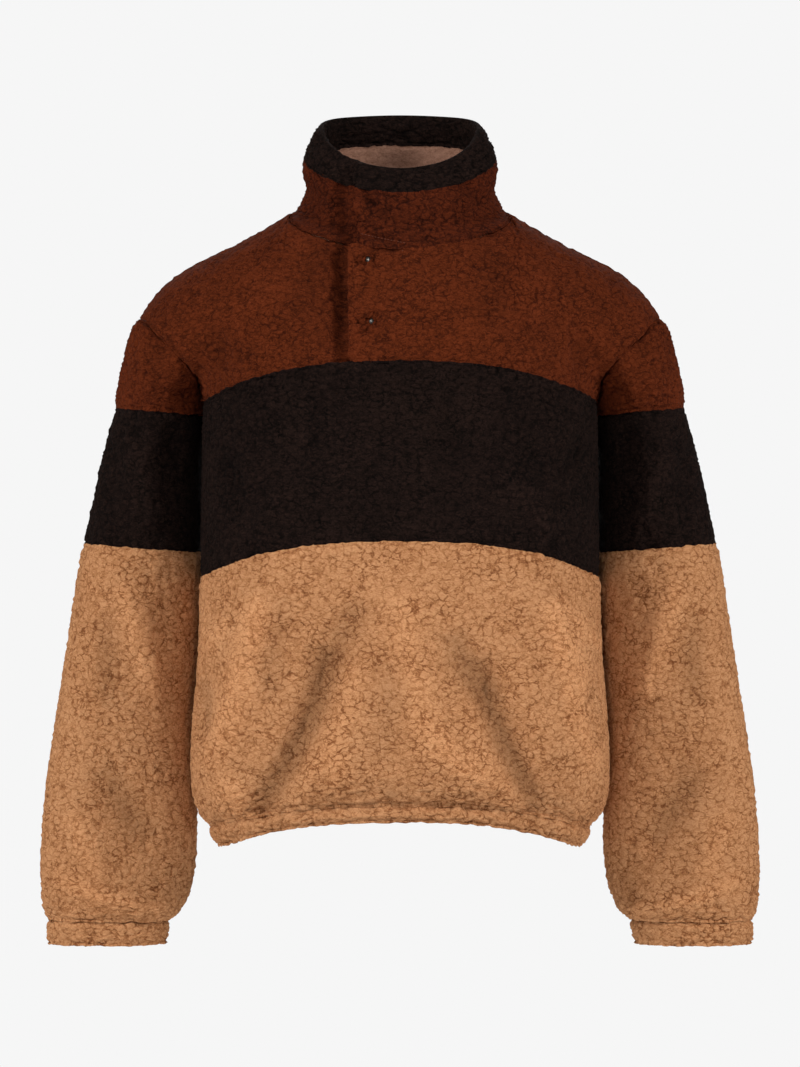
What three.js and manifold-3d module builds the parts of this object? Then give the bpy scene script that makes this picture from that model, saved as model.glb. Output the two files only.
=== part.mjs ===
// A stand-collar pullover of sherpa fleece, colour-blocked in three bands and filled out as when worn.
// Millimetres, +Z up, the front faces -Y. The origin is the middle of the neck, level with the tops of
// the two shoulder seams, where the neck and shoulders of a wearer carry the garment.
import * as THREE from "three";
import { mergeVertices } from "three/addons/utils/BufferGeometryUtils.js";
import Module from "manifold-3d";

const wasm = await Module();
wasm.setup();

// Driving sizes
const CLOTH = 7; // backing and pile together
const COLLAR_LINING = 6; // the thinner fleece that faces the collar
const SEAM_GAP = 0.3; // between two pieces at a seam
const SLEEVE_CLEAR = 3; // between a hanging sleeve and the side of the body
const TRUNK_MID = -15; // the widest line of the trunk, a little forward
const TRUNK_POWER = 2.6; // 2 is an ellipse, more is squarer
const SLEEVE_POWER = 2.2;
const PLACKET_EDGE = -50; // x of the flap's edge
const UNDERLAP_EDGE = -20; // x where the layer under the flap ends
const SIDE_SEAM_TURN = 101; // degrees round the trunk from the front to a side seam
const SLEEVE_COLUMNS = 16; // cells round a sleeve
const SHOULDER_SHARES = [0, 0.09, 0.22, 0.41, 0.62, 0.82, 1]; // along a shoulder seam, from its tip
const SHOULDER_CELLS = SHOULDER_SHARES.length - 1;

// The trunk's sections by height at the side seam: half width, reach forward and back, and how much
// higher the middle of the front and of the back ride than the sides.
const TRUNK = [
  { height: -638, half: 178, front: 124, back: 102, arch: 31, archBack: 8 },
  { height: -634, half: 181, front: 127, back: 104, arch: 31, archBack: 8 },
  { height: -626, half: 188, front: 132, back: 107, arch: 29, archBack: 8 },
  { height: -613, half: 191, front: 134, back: 108, arch: 27, archBack: 8 },
  { height: -609, half: 194, front: 137, back: 111, arch: 27, archBack: 8 },
  { height: -600, half: 202, front: 143, back: 117, arch: 28, archBack: 8 },
  { height: -585, half: 207, front: 148, back: 122, arch: 29, archBack: 8 },
  { height: -565, half: 209, front: 150, back: 124, arch: 30, archBack: 8 },
  { height: -500, half: 206, front: 146, back: 119, arch: 33, archBack: 7 },
  { height: -430, half: 200, front: 142, back: 113, arch: 36, archBack: 6 },
  { height: -330, half: 199, front: 140, back: 111, arch: 37, archBack: 6 },
  { height: -260, half: 198, front: 139, back: 113, arch: 38, archBack: 5 },
  { height: -200, half: 197, front: 137, back: 116, arch: 38, archBack: 4 },
  { height: -150, half: 193, front: 131, back: 117, arch: 20, archBack: 2 },
  { height: -110, half: 186, front: 121, back: 114, arch: 0, archBack: 0 },
  { height: -75, half: 170, front: 108, back: 104, arch: 0, archBack: 0 },
  { height: -46, half: 150, front: 95, back: 92, arch: 0, archBack: 0 },
  { height: -20, half: 118, front: 92, back: 80, arch: 0, archBack: 0 },
  { height: 0, half: 94, front: 91, back: 73, arch: 0, archBack: 0 },
  { height: 30, half: 86, front: 90, back: 70, arch: 0, archBack: 0 },
];

// The shoulders' sections by distance from the middle: the top line, the reach forward and back, and
// how far the section's centre lies below the top.
const SHOULDER = [
  { out: 60, top: 6, front: 78, back: 76, drop: 75 },
  { out: 106, top: -3, front: 84, back: 84, drop: 80 },
  { out: 120, top: -9, front: 85, back: 85, drop: 80 },
  { out: 145, top: -23.5, front: 84, back: 86, drop: 80 },
  { out: 168, top: -35.5, front: 82, back: 86, drop: 79 },
  { out: 203, top: -51, front: 75, back: 82, drop: 77 },
  { out: 226, top: -63, front: 69, back: 77, drop: 75 },
  { out: 247, top: -83, front: 59, back: 69, drop: 65 },
  { out: 260, top: -103, front: 48, back: 60, drop: 52 },
  { out: 267, top: -122, front: 36, back: 48, drop: 36 },
  { out: 271, top: -140, front: 22, back: 34, drop: 22 },
];

// A sleeve's sections by height: its outer and inner edge, and its reach forward and back.
const SLEEVE = [
  { height: -740, outer: 357, inner: 233, front: 8, back: 66 },
  { height: -712, outer: 356, inner: 231, front: 10, back: 68 },
  { height: -706, outer: 360, inner: 223, front: 14, back: 73 },
  { height: -698, outer: 362, inner: 216, front: 16, back: 77 },
  { height: -683, outer: 363, inner: 210, front: 17, back: 80 },
  { height: -655, outer: 363.5, inner: 204, front: 16, back: 82 },
  { height: -607, outer: 361.5, inner: 203, front: 16, back: 86 },
  { height: -542, outer: 353.5, inner: 202, front: 20, back: 88 },
  { height: -484, outer: 344, inner: 199, front: 26, back: 90 },
  { height: -414, outer: 333, inner: 197, front: 33, back: 92 },
  { height: -345, outer: 322.5, inner: 196.5, front: 40, back: 93 },
  { height: -320, outer: 317, inner: 196.5, front: 41, back: 93 },
  { height: -245, outer: 300.5, inner: 197, front: 46, back: 93 },
  { height: -214, outer: 292, inner: 194, front: 48, back: 93 },
  { height: -198, outer: 287, inner: 188, front: 50, back: 92 },
  { height: -157, outer: 275, inner: 176, front: 56, back: 86 },
  { height: -130, outer: 267, inner: 170, front: 56, back: 80 },
];

// Heights of the seams across the garment, at the side of the body or the outer edge of a sleeve.
const SEAM = {
  chest: -193,
  waist: -367,
  hem: -613,
  hemEdge: -634,
  sleeveChest: -198,
  sleeveChestInner: -207,
  sleeveWaist: -333,
  sleeveWaistInner: -342,
  cuff: -711,
  cuffEdge: -735,
};

// The armhole, round from the shoulder tip, down the front to the underarm and up the back.
// Snapped points are drawn onto the form; the others lie in the cleft between body and sleeve.
const ARMHOLE = [
  { x: 262, y: 12, z: -107, snap: true },
  { x: 254, y: -26, z: -114, snap: true },
  { x: 238, y: -54, z: -131, snap: true },
  { x: 219, y: -58, z: -151, snap: true },
  { x: 205, y: -42, z: -167, snap: true },
  { x: 199, y: -26, z: -181, snap: false },
  { x: 197, y: -13, z: -192, snap: false },
  { x: 194, y: 8, z: -206, snap: false },
  { x: 192.5, y: 28, z: -214, snap: false },
  { x: 194, y: 48, z: -206, snap: false },
  { x: 197, y: 70, z: -192, snap: false },
  { x: 199, y: 84, z: -181, snap: false },
  { x: 205, y: 96, z: -167, snap: true },
  { x: 219, y: 102, z: -151, snap: true },
  { x: 238, y: 86, z: -131, snap: true },
  { x: 254, y: 50, z: -114, snap: true },
];
const ARMHOLE_CENTRE = { x: 232, y: 20, z: -152 };
const CHEST_POINT = 6; // where the chest seam of the front meets the armhole
const UNDERARM_POINT = 8;
const CHEST_POINT_BACK = 10;
const BACK_CHEST_TURN = 128; // where the chest seam of the back meets it, in degrees round the trunk

// The collar by angle from the middle of the front: its seam on the body, its rim, and the height of
// the dark band at its top.
const COLLAR_EDGE = [
  { turn: 0, seam: -46, rim: 35, band: 25 },
  { turn: 30, seam: -38, rim: 43, band: 26 },
  { turn: 60, seam: -18, rim: 63, band: 29 },
  { turn: 90, seam: 0, rim: 84, band: 33 },
  { turn: 135, seam: 6, rim: 97, band: 31 },
  { turn: 180, seam: 8, rim: 101, band: 30 },
];
// The collar's side profile by share of its height: how far it stands out from its own waist.
const COLLAR_PROFILE = [
  { share: 0, out: 9 },
  { share: 0.14, out: 1 },
  { share: 0.28, out: -3 },
  { share: 0.45, out: 3 },
  { share: 0.58, out: 2 },
  { share: 0.72, out: -3 },
  { share: 1, out: -11 },
];
const COLLAR = { half: 97, front: 91, back: 70, power: 2.2 };
const NECK_MID = -8; // the middle of the neck, a little forward
// Columns of the collar by angle from the middle of the front. The first is the edge that laps over, at
// the neck seam and at the rim, and the last the edge that lies under it.
const FLAP_TURN = { yoke: -26.5, low: -23.4, high: -29.3 };
const LEFT_TURNS = [-26.5, -12, 3, 18, 32, 47, 61, 76, 90];
const BACK_TURNS = [90, 108, 126, 144, 162, 180, 198, 216, 234, 252, 270];
const RIGHT_TURNS = [270, 285.5, 301, 316.5];
const UNDER_TURNS = [329, 348.8];

// Folds: a ridge or trough from one point to another in the front view, then its half width and height.
const FRONT_FOLDS = [
  { x0: -128, z0: -350, x1: -146, z1: -440, wide: 24, high: 6 },
  { x0: -146, z0: -440, x1: -174, z1: -515, wide: 22, high: 6 },
  { x0: -76, z0: -420, x1: -92, z1: -510, wide: 22, high: -9 },
  { x0: -92, z0: -510, x1: -140, z1: -578, wide: 22, high: -9 },
  { x0: -160, z0: -405, x1: -184, z1: -430, wide: 13, high: 3 },
  { x0: -186, z0: -470, x1: -176, z1: -500, wide: 14, high: -3 },
  { x0: 128, z0: -350, x1: 148, z1: -440, wide: 24, high: 6 },
  { x0: 148, z0: -440, x1: 175, z1: -512, wide: 22, high: 6 },
  { x0: 78, z0: -432, x1: 92, z1: -505, wide: 22, high: -8 },
  { x0: 92, z0: -505, x1: 138, z1: -576, wide: 22, high: -9 },
  { x0: 160, z0: -402, x1: 184, z1: -432, wide: 13, high: 3 },
  { x0: 0, z0: -375, x1: 24, z1: -500, wide: 20, high: 3 },
  { x0: 24, z0: -500, x1: 72, z1: -556, wide: 18, high: 3 },
  { x0: -96, z0: -280, x1: -138, z1: -350, wide: 20, high: 3 },
  { x0: 96, z0: -280, x1: 138, z1: -350, wide: 20, high: 3 },
];
const BACK_FOLDS = [
  { x0: -120, z0: -260, x1: -60, z1: -430, wide: 26, high: -6 },
  { x0: 132, z0: -240, x1: 74, z1: -400, wide: 26, high: -6 },
  { x0: -150, z0: -420, x1: -110, z1: -560, wide: 24, high: 6 },
  { x0: 158, z0: -400, x1: 104, z1: -565, wide: 24, high: 6 },
  { x0: -20, z0: -440, x1: -50, z1: -575, wide: 22, high: -7 },
  { x0: 46, z0: -470, x1: 30, z1: -580, wide: 20, high: -6 },
];
// Folds of a sleeve, drawn for the +X one.
const SLEEVE_FOLDS_FRONT = [
  { x0: 272, z0: -372, x1: 240, z1: -490, wide: 17, high: 5 },
  { x0: 292, z0: -560, x1: 250, z1: -630, wide: 38, high: -5 },
  { x0: 346, z0: -660, x1: 228, z1: -694, wide: 12, high: 4 },
  { x0: 262, z0: -240, x1: 240, z1: -320, wide: 18, high: 4 },
];
const SLEEVE_FOLDS_BACK = [
  { x0: 285, z0: -330, x1: 240, z1: -420, wide: 20, high: -5 },
  { x0: 320, z0: -470, x1: 262, z1: -590, wide: 24, high: 6 },
  { x0: 340, z0: -640, x1: 240, z1: -686, wide: 14, high: 4 },
];
const GATHER_HEM = 1.6; // how far the cloth puckers in and out beside the elastic of the hem
const GATHER_CUFF = 1.8;

// Colours of the cloth and the fasteners
const RUST = 0x7a3a1e;
const ESPRESSO = 0x231a17;
const CAMEL = 0xb98558;
const BISCUIT = 0xa08070;
const STEEL = 0x8f8f8c;

const radians = (degrees) => (degrees * Math.PI) / 180;
const point = (x, y, z) => new THREE.Vector3(x, y, z);
const { clamp, lerp, smoothstep } = THREE.MathUtils;

// One column of a table as a smooth curve that never overshoots its rows, by the first column.
const curves = new Map();
function curveOf(table, column) {
  const key = Object.keys(table[0])[0];
  const at = table.map((row) => row[key]);
  const value = table.map((row) => row[column]);
  const step = at.slice(1).map((a, i) => (value[i + 1] - value[i]) / (a - at[i]));
  const slope = at.map((_, i) => {
    if (i === 0 || i === at.length - 1) return 0;
    const [before, after] = [step[i - 1], step[i]];
    return before * after <= 0 ? 0 : (2 * before * after) / (before + after);
  });
  return (x) => {
    const held = clamp(x, at[0], at[at.length - 1]);
    let i = 0;
    while (i < at.length - 2 && held > at[i + 1]) i += 1;
    const width = at[i + 1] - at[i];
    const t = (held - at[i]) / width;
    const rise = value[i + 1] - value[i];
    const ease = t * t * (3 - 2 * t);
    return value[i] + rise * ease + width * t * (1 - t) * (slope[i] * (1 - t) - slope[i + 1] * t);
  };
}
function read(table, column, x) {
  if (!curves.has(table)) curves.set(table, {});
  const known = curves.get(table);
  known[column] ??= curveOf(table, column);
  return known[column](x);
}

// How far a point lies outside a rounded section, along the line from the section's centre.
function outside(across, deep, half, depth, power) {
  const share = Math.abs(across / half) ** power + Math.abs(deep / depth) ** power;
  const length = Math.hypot(across, deep);
  return share < 1e-9 ? -Math.min(half, depth) : length * (1 - share ** (-1 / power));
}

// Two forms run together with a soft fillet.
function soften(a, b, fillet) {
  const near = Math.max(fillet - Math.abs(a - b), 0) / fillet;
  return Math.min(a, b) - (near * near * fillet) / 4;
}

function trunkForm(p) {
  const deep = p.y - TRUNK_MID;
  const reach = deep < 0 ? "front" : "back";
  const across = p.x / read(TRUNK, "half", p.z);
  const inward = deep / Math.abs(read(TRUNK, reach, p.z) + (deep < 0 ? TRUNK_MID : -TRUNK_MID));
  const middle = (inward * inward) / (across * across + inward * inward + 1e-9);
  const height = p.z - read(TRUNK, deep < 0 ? "arch" : "archBack", p.z) * middle;
  const depth = read(TRUNK, reach, height) + (deep < 0 ? TRUNK_MID : -TRUNK_MID);
  return outside(p.x, deep, read(TRUNK, "half", height), depth, TRUNK_POWER);
}

function shoulderForm(p) {
  const out = Math.abs(p.x);
  const [front, back, drop] = ["front", "back", "drop"].map((c) => read(SHOULDER, c, out));
  const centre = read(SHOULDER, "top", out) - drop;
  const side = outside(p.y - (back - front) / 2, p.z - centre, (front + back) / 2, drop, SLEEVE_POWER);
  return Math.max(side, out - SHOULDER.at(-1).out);
}

// The middle of a sleeve's section at a height, and its half width and depth.
function sleeveSection(height) {
  const [outer, inner, front, back] = ["outer", "inner", "front", "back"].map((c) => read(SLEEVE, c, height));
  return { x: (outer + inner) / 2, y: (back - front) / 2, half: (outer - inner) / 2, depth: (front + back) / 2 };
}

function sleeveForm(p) {
  const s = sleeveSection(p.z);
  const side = outside(Math.abs(p.x) - s.x, p.y - s.y, s.half, s.depth, SLEEVE_POWER);
  return Math.max(side, p.z + 124);
}

// Body and sleeve run together above the underarm and part below it.
const PARTING = 60;
const parted = (z) => PARTING * smoothstep(-z, 158, 200);
const filletAt = (z) => lerp(24, 44, smoothstep(-z, 15, 60)) - 30 * smoothstep(-z, 85, 150);
const CROWN_FILLET = 12; // where a shoulder runs into its sleeve
function bodyForm(p) {
  const arm = soften(shoulderForm(p), sleeveForm(p), CROWN_FILLET) + parted(p.z);
  return soften(trunkForm(p), arm, filletAt(p.z));
}
function armForm(p) {
  const [arm, trunk] = [soften(shoulderForm(p), sleeveForm(p), CROWN_FILLET), trunkForm(p)];
  const joined = soften(arm, trunk + parted(p.z), filletAt(p.z));
  const apart = Math.max(arm, SLEEVE_CLEAR - trunk);
  return lerp(joined, apart, smoothstep(-p.z, 208, 238));
}

// The way out of a form at a point.
function wayOut(form, p) {
  const h = 0.6;
  const slope = (dx, dy, dz) =>
    form(point(p.x + dx, p.y + dy, p.z + dz)) - form(point(p.x - dx, p.y - dy, p.z - dz));
  return point(slope(h, 0, 0), slope(0, h, 0), slope(0, 0, h)).normalize();
}

// Where a line from inside a form, through a point, first leaves the form.
function leave(form, core, through) {
  const along = through.clone().sub(core).normalize();
  const at = (t) => core.clone().addScaledVector(along, t);
  const stride = 3;
  let low = 0;
  while (form(at(low + stride)) < 0 && low < 500) low += stride;
  let high = low + stride;
  for (let i = 0; i < 22; i += 1) {
    const middle = (low + high) / 2;
    if (form(at(middle)) < 0) low = middle;
    else high = middle;
  }
  return at((low + high) / 2);
}

const knot = (form, p) => ({ p, n: wayOut(form, p) });

// Charts flatten a stretch of the form into two numbers, and find its point for two numbers again, as
// where a line from the chart's core leaves the form. Facing is -1 for the front and 1 for the back.
const CORE = [
  { out: 0, y: 4, z: -85 },
  { out: 150, y: 6, z: -100 },
  { out: 200, y: 12, z: -126 },
  { out: 265, y: 20, z: -150 },
];
// Round the trunk, by turn and height.
const roundTrunk = (facing) => ({
  form: bodyForm,
  flat: (p) => [Math.atan2(p.x, facing * (p.y - TRUNK_MID)), p.z],
  core: (a, b) => point(0, TRUNK_MID, b),
  way: (a) => point(Math.sin(a), facing * Math.cos(a), 0),
});
// Over the shoulders, by x and the turn about a line inside them.
const overShoulders = (facing) => {
  const core = (x) => point(x, read(CORE, "y", Math.abs(x)), read(CORE, "z", Math.abs(x)));
  const turn = (p, c) => Math.atan2(p.z - c.z, facing * (p.y - c.y));
  return {
    form: bodyForm,
    flat: (p) => [p.x, turn(p, core(p.x))],
    core,
    way: (a, b) => point(0, facing * Math.cos(b), Math.sin(b)),
  };
};
// Round the top of a sleeve, by turn from its outer side and height.
const roundSleeve = (side) => ({
  form: armForm,
  flat: (p) => [Math.atan2(p.y - 22, side * p.x - 225), p.z],
  core: (a, b) => point(side * 225, 22, b),
  way: (a) => point(side * Math.cos(a), Math.sin(a), 0),
});
function charted(chart, [a, b]) {
  const core = chart.core(a, b);
  return knot(chart.form, leave(chart.form, core, core.clone().add(chart.way(a, b))));
}

// A point of the trunk at a turn from the middle of the front, for a height at the side.
function onTrunk(height, turn) {
  const [s, c] = [Math.sin(radians(turn)), Math.cos(radians(turn))];
  const z = height + read(TRUNK, c > 0 ? "arch" : "archBack", height) * c * c;
  const depth = c > 0 ? read(TRUNK, "front", height) + TRUNK_MID : read(TRUNK, "back", height) - TRUNK_MID;
  const bend = 2 / TRUNK_POWER;
  const x = read(TRUNK, "half", height) * Math.sign(s) * Math.abs(s) ** bend;
  const y = TRUNK_MID - depth * Math.sign(c) * Math.abs(c) ** bend;
  return knot(bodyForm, leave(bodyForm, point(0, TRUNK_MID, z), point(x, y, z)));
}

// A point of a sleeve at a turn from its outer edge round the front; side is 1 or -1.
function onSleeve(side, outerHeight, innerHeight, turn) {
  const [s, c] = [Math.sin(radians(turn)), Math.cos(radians(turn))];
  const z = lerp(innerHeight, outerHeight, (1 + c) / 2);
  const section = sleeveSection(z);
  const core = point(side * section.x, section.y, z);
  const guess = point(core.x + side * section.half * c, core.y - section.depth * s, z);
  return knot(armForm, leave(armForm, core, guess));
}

const share = (from, to, cells) => Array.from({ length: cells + 1 }, (_, i) => lerp(from, to, i / cells));
const trunkLine = (height, from, to, cells) => share(from, to, cells).map((turn) => onTrunk(height, turn));

// The points of one armhole, shared by the body and the sleeve.
function armhole(side) {
  const centre = point(side * ARMHOLE_CENTRE.x, ARMHOLE_CENTRE.y, ARMHOLE_CENTRE.z);
  const hole = ARMHOLE.map((row) => {
    const guess = point(side * row.x, row.y, row.z);
    if (row.snap) return knot(bodyForm, leave(bodyForm, centre, guess));
    const cleft = smoothstep(-row.z, 165, 205);
    const valley = point(0, row.y < 28 ? -1 : 1, 0).lerp(point(0, 0, -1), cleft);
    return { p: guess, n: valley.normalize() };
  });
  // The seam's face is kept flat either side of the tip, where the sleeve has more points than the body.
  for (const beside of [hole[1], hole.at(-1)]) {
    const square = beside.p.clone().sub(hole[0].p).cross(hole[0].n).normalize();
    beside.n.addScaledVector(square, -beside.n.dot(square)).normalize();
  }
  return hole;
}

// The neckline at a turn from the middle of the front.
const awayFromFront = (turn) => Math.abs(((turn + 540) % 360) - 180);
const neckWay = (turn) => point(Math.sin(radians(turn)) * 106, -Math.cos(radians(turn)) * 90, 0).normalize();
function onNeckline(turn) {
  const core = point(0, NECK_MID, read(COLLAR_EDGE, "seam", awayFromFront(turn)));
  const way = neckWay(turn);
  const p = leave(bodyForm, core, core.clone().add(way));
  return { p, n: wayOut(bodyForm, p).add(way).normalize() };
}

// The collar's waist line at a turn, moved out by some distance, with the way out there.
function onCollar(turn, z, out) {
  const way = neckWay(turn);
  const depth = way.y < 0 ? COLLAR.front + NECK_MID : COLLAR.back - NECK_MID;
  const [a, b] = [Math.abs(way.x) / COLLAR.half, Math.abs(way.y) / depth];
  const reach = (a ** COLLAR.power + b ** COLLAR.power) ** (-1 / COLLAR.power);
  const across = (Math.sign(way.x) * (a * reach) ** (COLLAR.power - 1)) / COLLAR.half;
  const deep = (Math.sign(way.y) * (b * reach) ** (COLLAR.power - 1)) / depth;
  const n = point(across, deep, 0).normalize();
  const p = point(way.x * reach, NECK_MID + way.y * reach, z).addScaledVector(n, out);
  return { p, n };
}

// A point of the shoulder seam, from the armhole (0) to the neck (1).
function onShoulder(side, t) {
  const [x, y] = [lerp(ARMHOLE[0].x, 106, t), lerp(ARMHOLE[0].y, -2, t)];
  const core = overShoulders(-1).core(side * x);
  return knot(bodyForm, leave(bodyForm, core, point(side * x, y, core.z + 80)));
}

// Each inner point moves towards the middle of its neighbours, or away from it.
function relaxed(grid, weight) {
  const last = [grid.length - 1, grid[0].length - 1];
  return grid.map((row, j) =>
    row.map((k, i) => {
      if (j === 0 || i === 0 || j === last[0] || i === last[1]) return k;
      const middle = point(0, 0, 0);
      for (const beside of [grid[j - 1][i], grid[j + 1][i], row[i - 1], row[i + 1]]) {
        middle.addScaledVector(beside.p, 0.25);
      }
      return { p: k.p.clone().lerp(middle, weight), n: k.n };
    }),
  );
}

// A panel spanned between its four edges on a chart, then smoothed without shrinking it.
function span(chart, bottom, top, left, right) {
  const [columns, rows] = [bottom.length - 1, left.length - 1];
  const [low, high, first, last] = [bottom, top, left, right].map((edge) => edge.map((k) => chart.flat(k.p)));
  let grid = left.map((_, j) =>
    bottom.map((_, i) => {
      const [u, v] = [i / columns, j / rows];
      if (j === 0) return bottom[i];
      if (j === rows) return top[i];
      if (i === 0) return left[j];
      if (i === columns) return right[j];
      const blend = [0, 1].map((c) => {
        const edges = lerp(low[i][c], high[i][c], v) + lerp(first[j][c], last[j][c], u);
        return edges - lerp(lerp(low[0][c], low[columns][c], u), lerp(high[0][c], high[columns][c], u), v);
      });
      return charted(chart, blend);
    }),
  );
  for (const weight of [0.5, -0.52, 0.5, -0.52, 0.5, -0.52]) grid = relaxed(grid, weight);
  const inside = (j, i) => j > 0 && j < rows && i > 0 && i < columns;
  return grid.map((row, j) => row.map((k, i) => (inside(j, i) ? knot(chart.form, k.p) : k)));
}

// How far the folds of a table lift the cloth at a point of the front view.
function foldAt(folds, x, z) {
  return folds.reduce((sum, f) => {
    const run = new THREE.Vector2(f.x1 - f.x0, f.z1 - f.z0);
    const from = new THREE.Vector2(x - f.x0, z - f.z0);
    const t = clamp(from.dot(run) / run.lengthSq(), 0, 1);
    const away = from.addScaledVector(run, -t).length();
    return sum + f.high * Math.exp(-((away / f.wide) ** 2));
  }, 0);
}
// Folds fade out where the cloth turns away from the front and from the back.
function folded(k, front, back, x = k.p.x) {
  const facing = smoothstep(Math.abs(k.n.y), 0.15, 0.6);
  const lift = facing * foldAt(k.n.y < 0 ? front : back, x, k.p.z);
  return { p: k.p.clone().addScaledVector(k.n, lift), n: k.n };
}
const foldBody = (grid) => grid.map((row) => row.map((k) => folded(k, FRONT_FOLDS, BACK_FOLDS)));

// Half a seam's gap taken off the edges of a panel, square to the seam. A tube has no side edges.
function trimmed(grid, tube) {
  const [rows, columns] = [grid.length - 1, grid[0].length - 1];
  const pull = (k, to, before, after) => {
    const way = to.p.clone().sub(k.p);
    for (const held of [after.p.clone().sub(before.p).normalize(), k.n.clone().normalize()]) {
      way.addScaledVector(held, -way.dot(held));
    }
    return { p: k.p.clone().addScaledVector(way.normalize(), SEAM_GAP / 2), n: k.n };
  };
  const beside = (i, last) => [i > 0 ? i - 1 : tube ? last - 1 : 0, i < last ? i + 1 : tube ? 1 : last];
  const acrossRows = (j, to) => (k, i) => {
    const [before, after] = beside(i, columns);
    return pull(k, grid[to][i], grid[j][before], grid[j][after]);
  };
  const cut = [...grid];
  cut[0] = grid[0].map(acrossRows(0, 1));
  cut[rows] = grid[rows].map(acrossRows(rows, rows - 1));
  if (tube) return cut;
  return cut.map((row, j) => {
    const [below, above] = [cut[Math.max(j - 1, 0)], cut[Math.min(j + 1, rows)]];
    const pulled = [...row];
    pulled[0] = pull(row[0], row[1], below[0], above[0]);
    pulled[columns] = pull(row[columns], row[columns - 1], below[columns], above[columns]);
    return pulled;
  });
}

// Triangles over a grid of corner numbers. A skewed quad is split across its short way, any other at
// its lowest corner, so that two faces which lie close together are split alike and stay parted.
function quads(points, corners, triangles) {
  const order = (corner) => points[corner].z + 0.4 * points[corner].x + 0.1 * points[corner].y;
  const apart = (a, b) => points[a].distanceTo(points[b]);
  for (let j = 0; j + 1 < corners.length; j += 1) {
    for (let i = 0; i + 1 < corners[j].length; i += 1) {
      const [a, b, c, d] = [corners[j][i], corners[j][i + 1], corners[j + 1][i + 1], corners[j + 1][i]];
      const [one, other] = [apart(a, c), apart(b, d)];
      const skewed = Math.abs(one - other) > 0.08 * (one + other);
      const straight = skewed ? one < other : Math.min(order(a), order(c)) < Math.min(order(b), order(d));
      triangles.push(...(straight ? [a, b, c, a, c, d] : [a, b, d, b, c, d]));
    }
  }
}

// A closed solid from its points and triangles, with its faces turned outwards.
function closed(points, triangles) {
  let volume = 0;
  for (let t = 0; t < triangles.length; t += 3) {
    const [a, b, c] = [0, 1, 2].map((k) => points[triangles[t + k]]);
    volume += a.dot(b.clone().cross(c));
  }
  const order = volume < 0 ? triangles.map((_, t) => triangles[3 * Math.floor(t / 3) + (2 - (t % 3))]) : triangles;
  const geometry = new THREE.BufferGeometry().setFromPoints(points);
  geometry.setIndex(order);
  return geometry;
}

// A wall of cloth: the grid is its outer face, and the inner face lies one thickness in.
function wall(grid, thickness = CLOTH, tube = false) {
  const rows = grid.map((row) => (tube ? row.slice(0, -1) : row));
  const wide = rows[0].length;
  const flat = rows.flat();
  const points = [
    ...flat.map((k) => k.p),
    ...flat.map((k) => k.p.clone().addScaledVector(k.n, -thickness)),
  ];
  const outer = rows.map((row, j) => row.map((_, i) => j * wide + i));
  if (tube) outer.forEach((row) => row.push(row[0]));
  const inner = outer.map((row) => row.map((c) => c + flat.length));
  const triangles = [];
  quads(points, outer, triangles);
  quads(points, [...inner].reverse(), triangles);
  const [last, end] = [outer.length - 1, wide - 1];
  quads(points, [inner[0], outer[0]], triangles);
  quads(points, [outer[last], inner[last]], triangles);
  if (!tube) {
    quads(points, [outer.map((row) => row[0]), inner.map((row) => row[0])], triangles);
    quads(points, [inner.map((row) => row[end]), outer.map((row) => row[end])], triangles);
  }
  return closed(points, triangles);
}

const pullover = new THREE.Group();
function add(name, geometry, color, roughness = 1, metalness = 0) {
  const material = new THREE.MeshStandardMaterial({ color, roughness, metalness });
  const mesh = new THREE.Mesh(geometry, material);
  mesh.name = name;
  pullover.add(mesh);
}

// Seam lines shared by the panels that meet on them. Left and right are the wearer's.
const armholes = { left: armhole(1), right: armhole(-1) };
const halfAtChest = read(TRUNK, "half", SEAM.chest);
const turnAt = (x) => (Math.asin(Math.sign(x) * Math.abs(x / halfAtChest) ** (TRUNK_POWER / 2)) * 180) / Math.PI;
const rightCells = SHOULDER_CELLS + RIGHT_TURNS.length - 1;
const leftCells = SHOULDER_CELLS + LEFT_TURNS.length - 1;
const frontCells = rightCells + 1 + leftCells;
const backCells = 2 * SHOULDER_CELLS + BACK_TURNS.length - 1;

const chestRight = share(-90, turnAt(PLACKET_EDGE - 24), rightCells).map((turn) => onTrunk(SEAM.chest, turn));
const chestLeft = share(turnAt(PLACKET_EDGE), 90, leftCells).map((turn) => onTrunk(SEAM.chest, turn));
chestRight[0] = armholes.right[CHEST_POINT];
chestLeft[leftCells] = armholes.left[CHEST_POINT];
const chestFront = [...chestRight, ...chestLeft];
const chestBack = trunkLine(SEAM.chest, BACK_CHEST_TURN, 360 - BACK_CHEST_TURN, backCells);
chestBack[0] = armholes.left[CHEST_POINT_BACK];
chestBack[backCells] = armholes.right[CHEST_POINT_BACK];
const aroundFront = (height) => trunkLine(height, -SIDE_SEAM_TURN, SIDE_SEAM_TURN, frontCells);
const aroundBack = (height) => trunkLine(height, SIDE_SEAM_TURN, 360 - SIDE_SEAM_TURN, backCells);

// The chest band. Its side edges follow the side seam up to the underarm, then the armhole.
const SIDE_HEIGHTS = [SEAM.waist, -337, -307, -277, -248, -227];
function sideLine(side, back) {
  const hole = side > 0 ? armholes.left : armholes.right;
  const seam = SIDE_HEIGHTS.map((height) => onTrunk(height, side * SIDE_SEAM_TURN));
  const armpit = hole.slice(CHEST_POINT, CHEST_POINT_BACK + 1);
  return [...seam, ...(back ? armpit.slice(2) : armpit.slice(0, 3).reverse())];
}
const chestFrontPanel = span(roundTrunk(-1), aroundFront(SEAM.waist), chestFront, sideLine(-1, false), sideLine(1, false));
const chestBackPanel = span(roundTrunk(1), aroundBack(SEAM.waist), chestBack, sideLine(1, true), sideLine(-1, true));
add("front_chest_band", wall(trimmed(foldBody(chestFrontPanel))), ESPRESSO);
add("back_chest_band", wall(trimmed(foldBody(chestBackPanel))), ESPRESSO);

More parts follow.
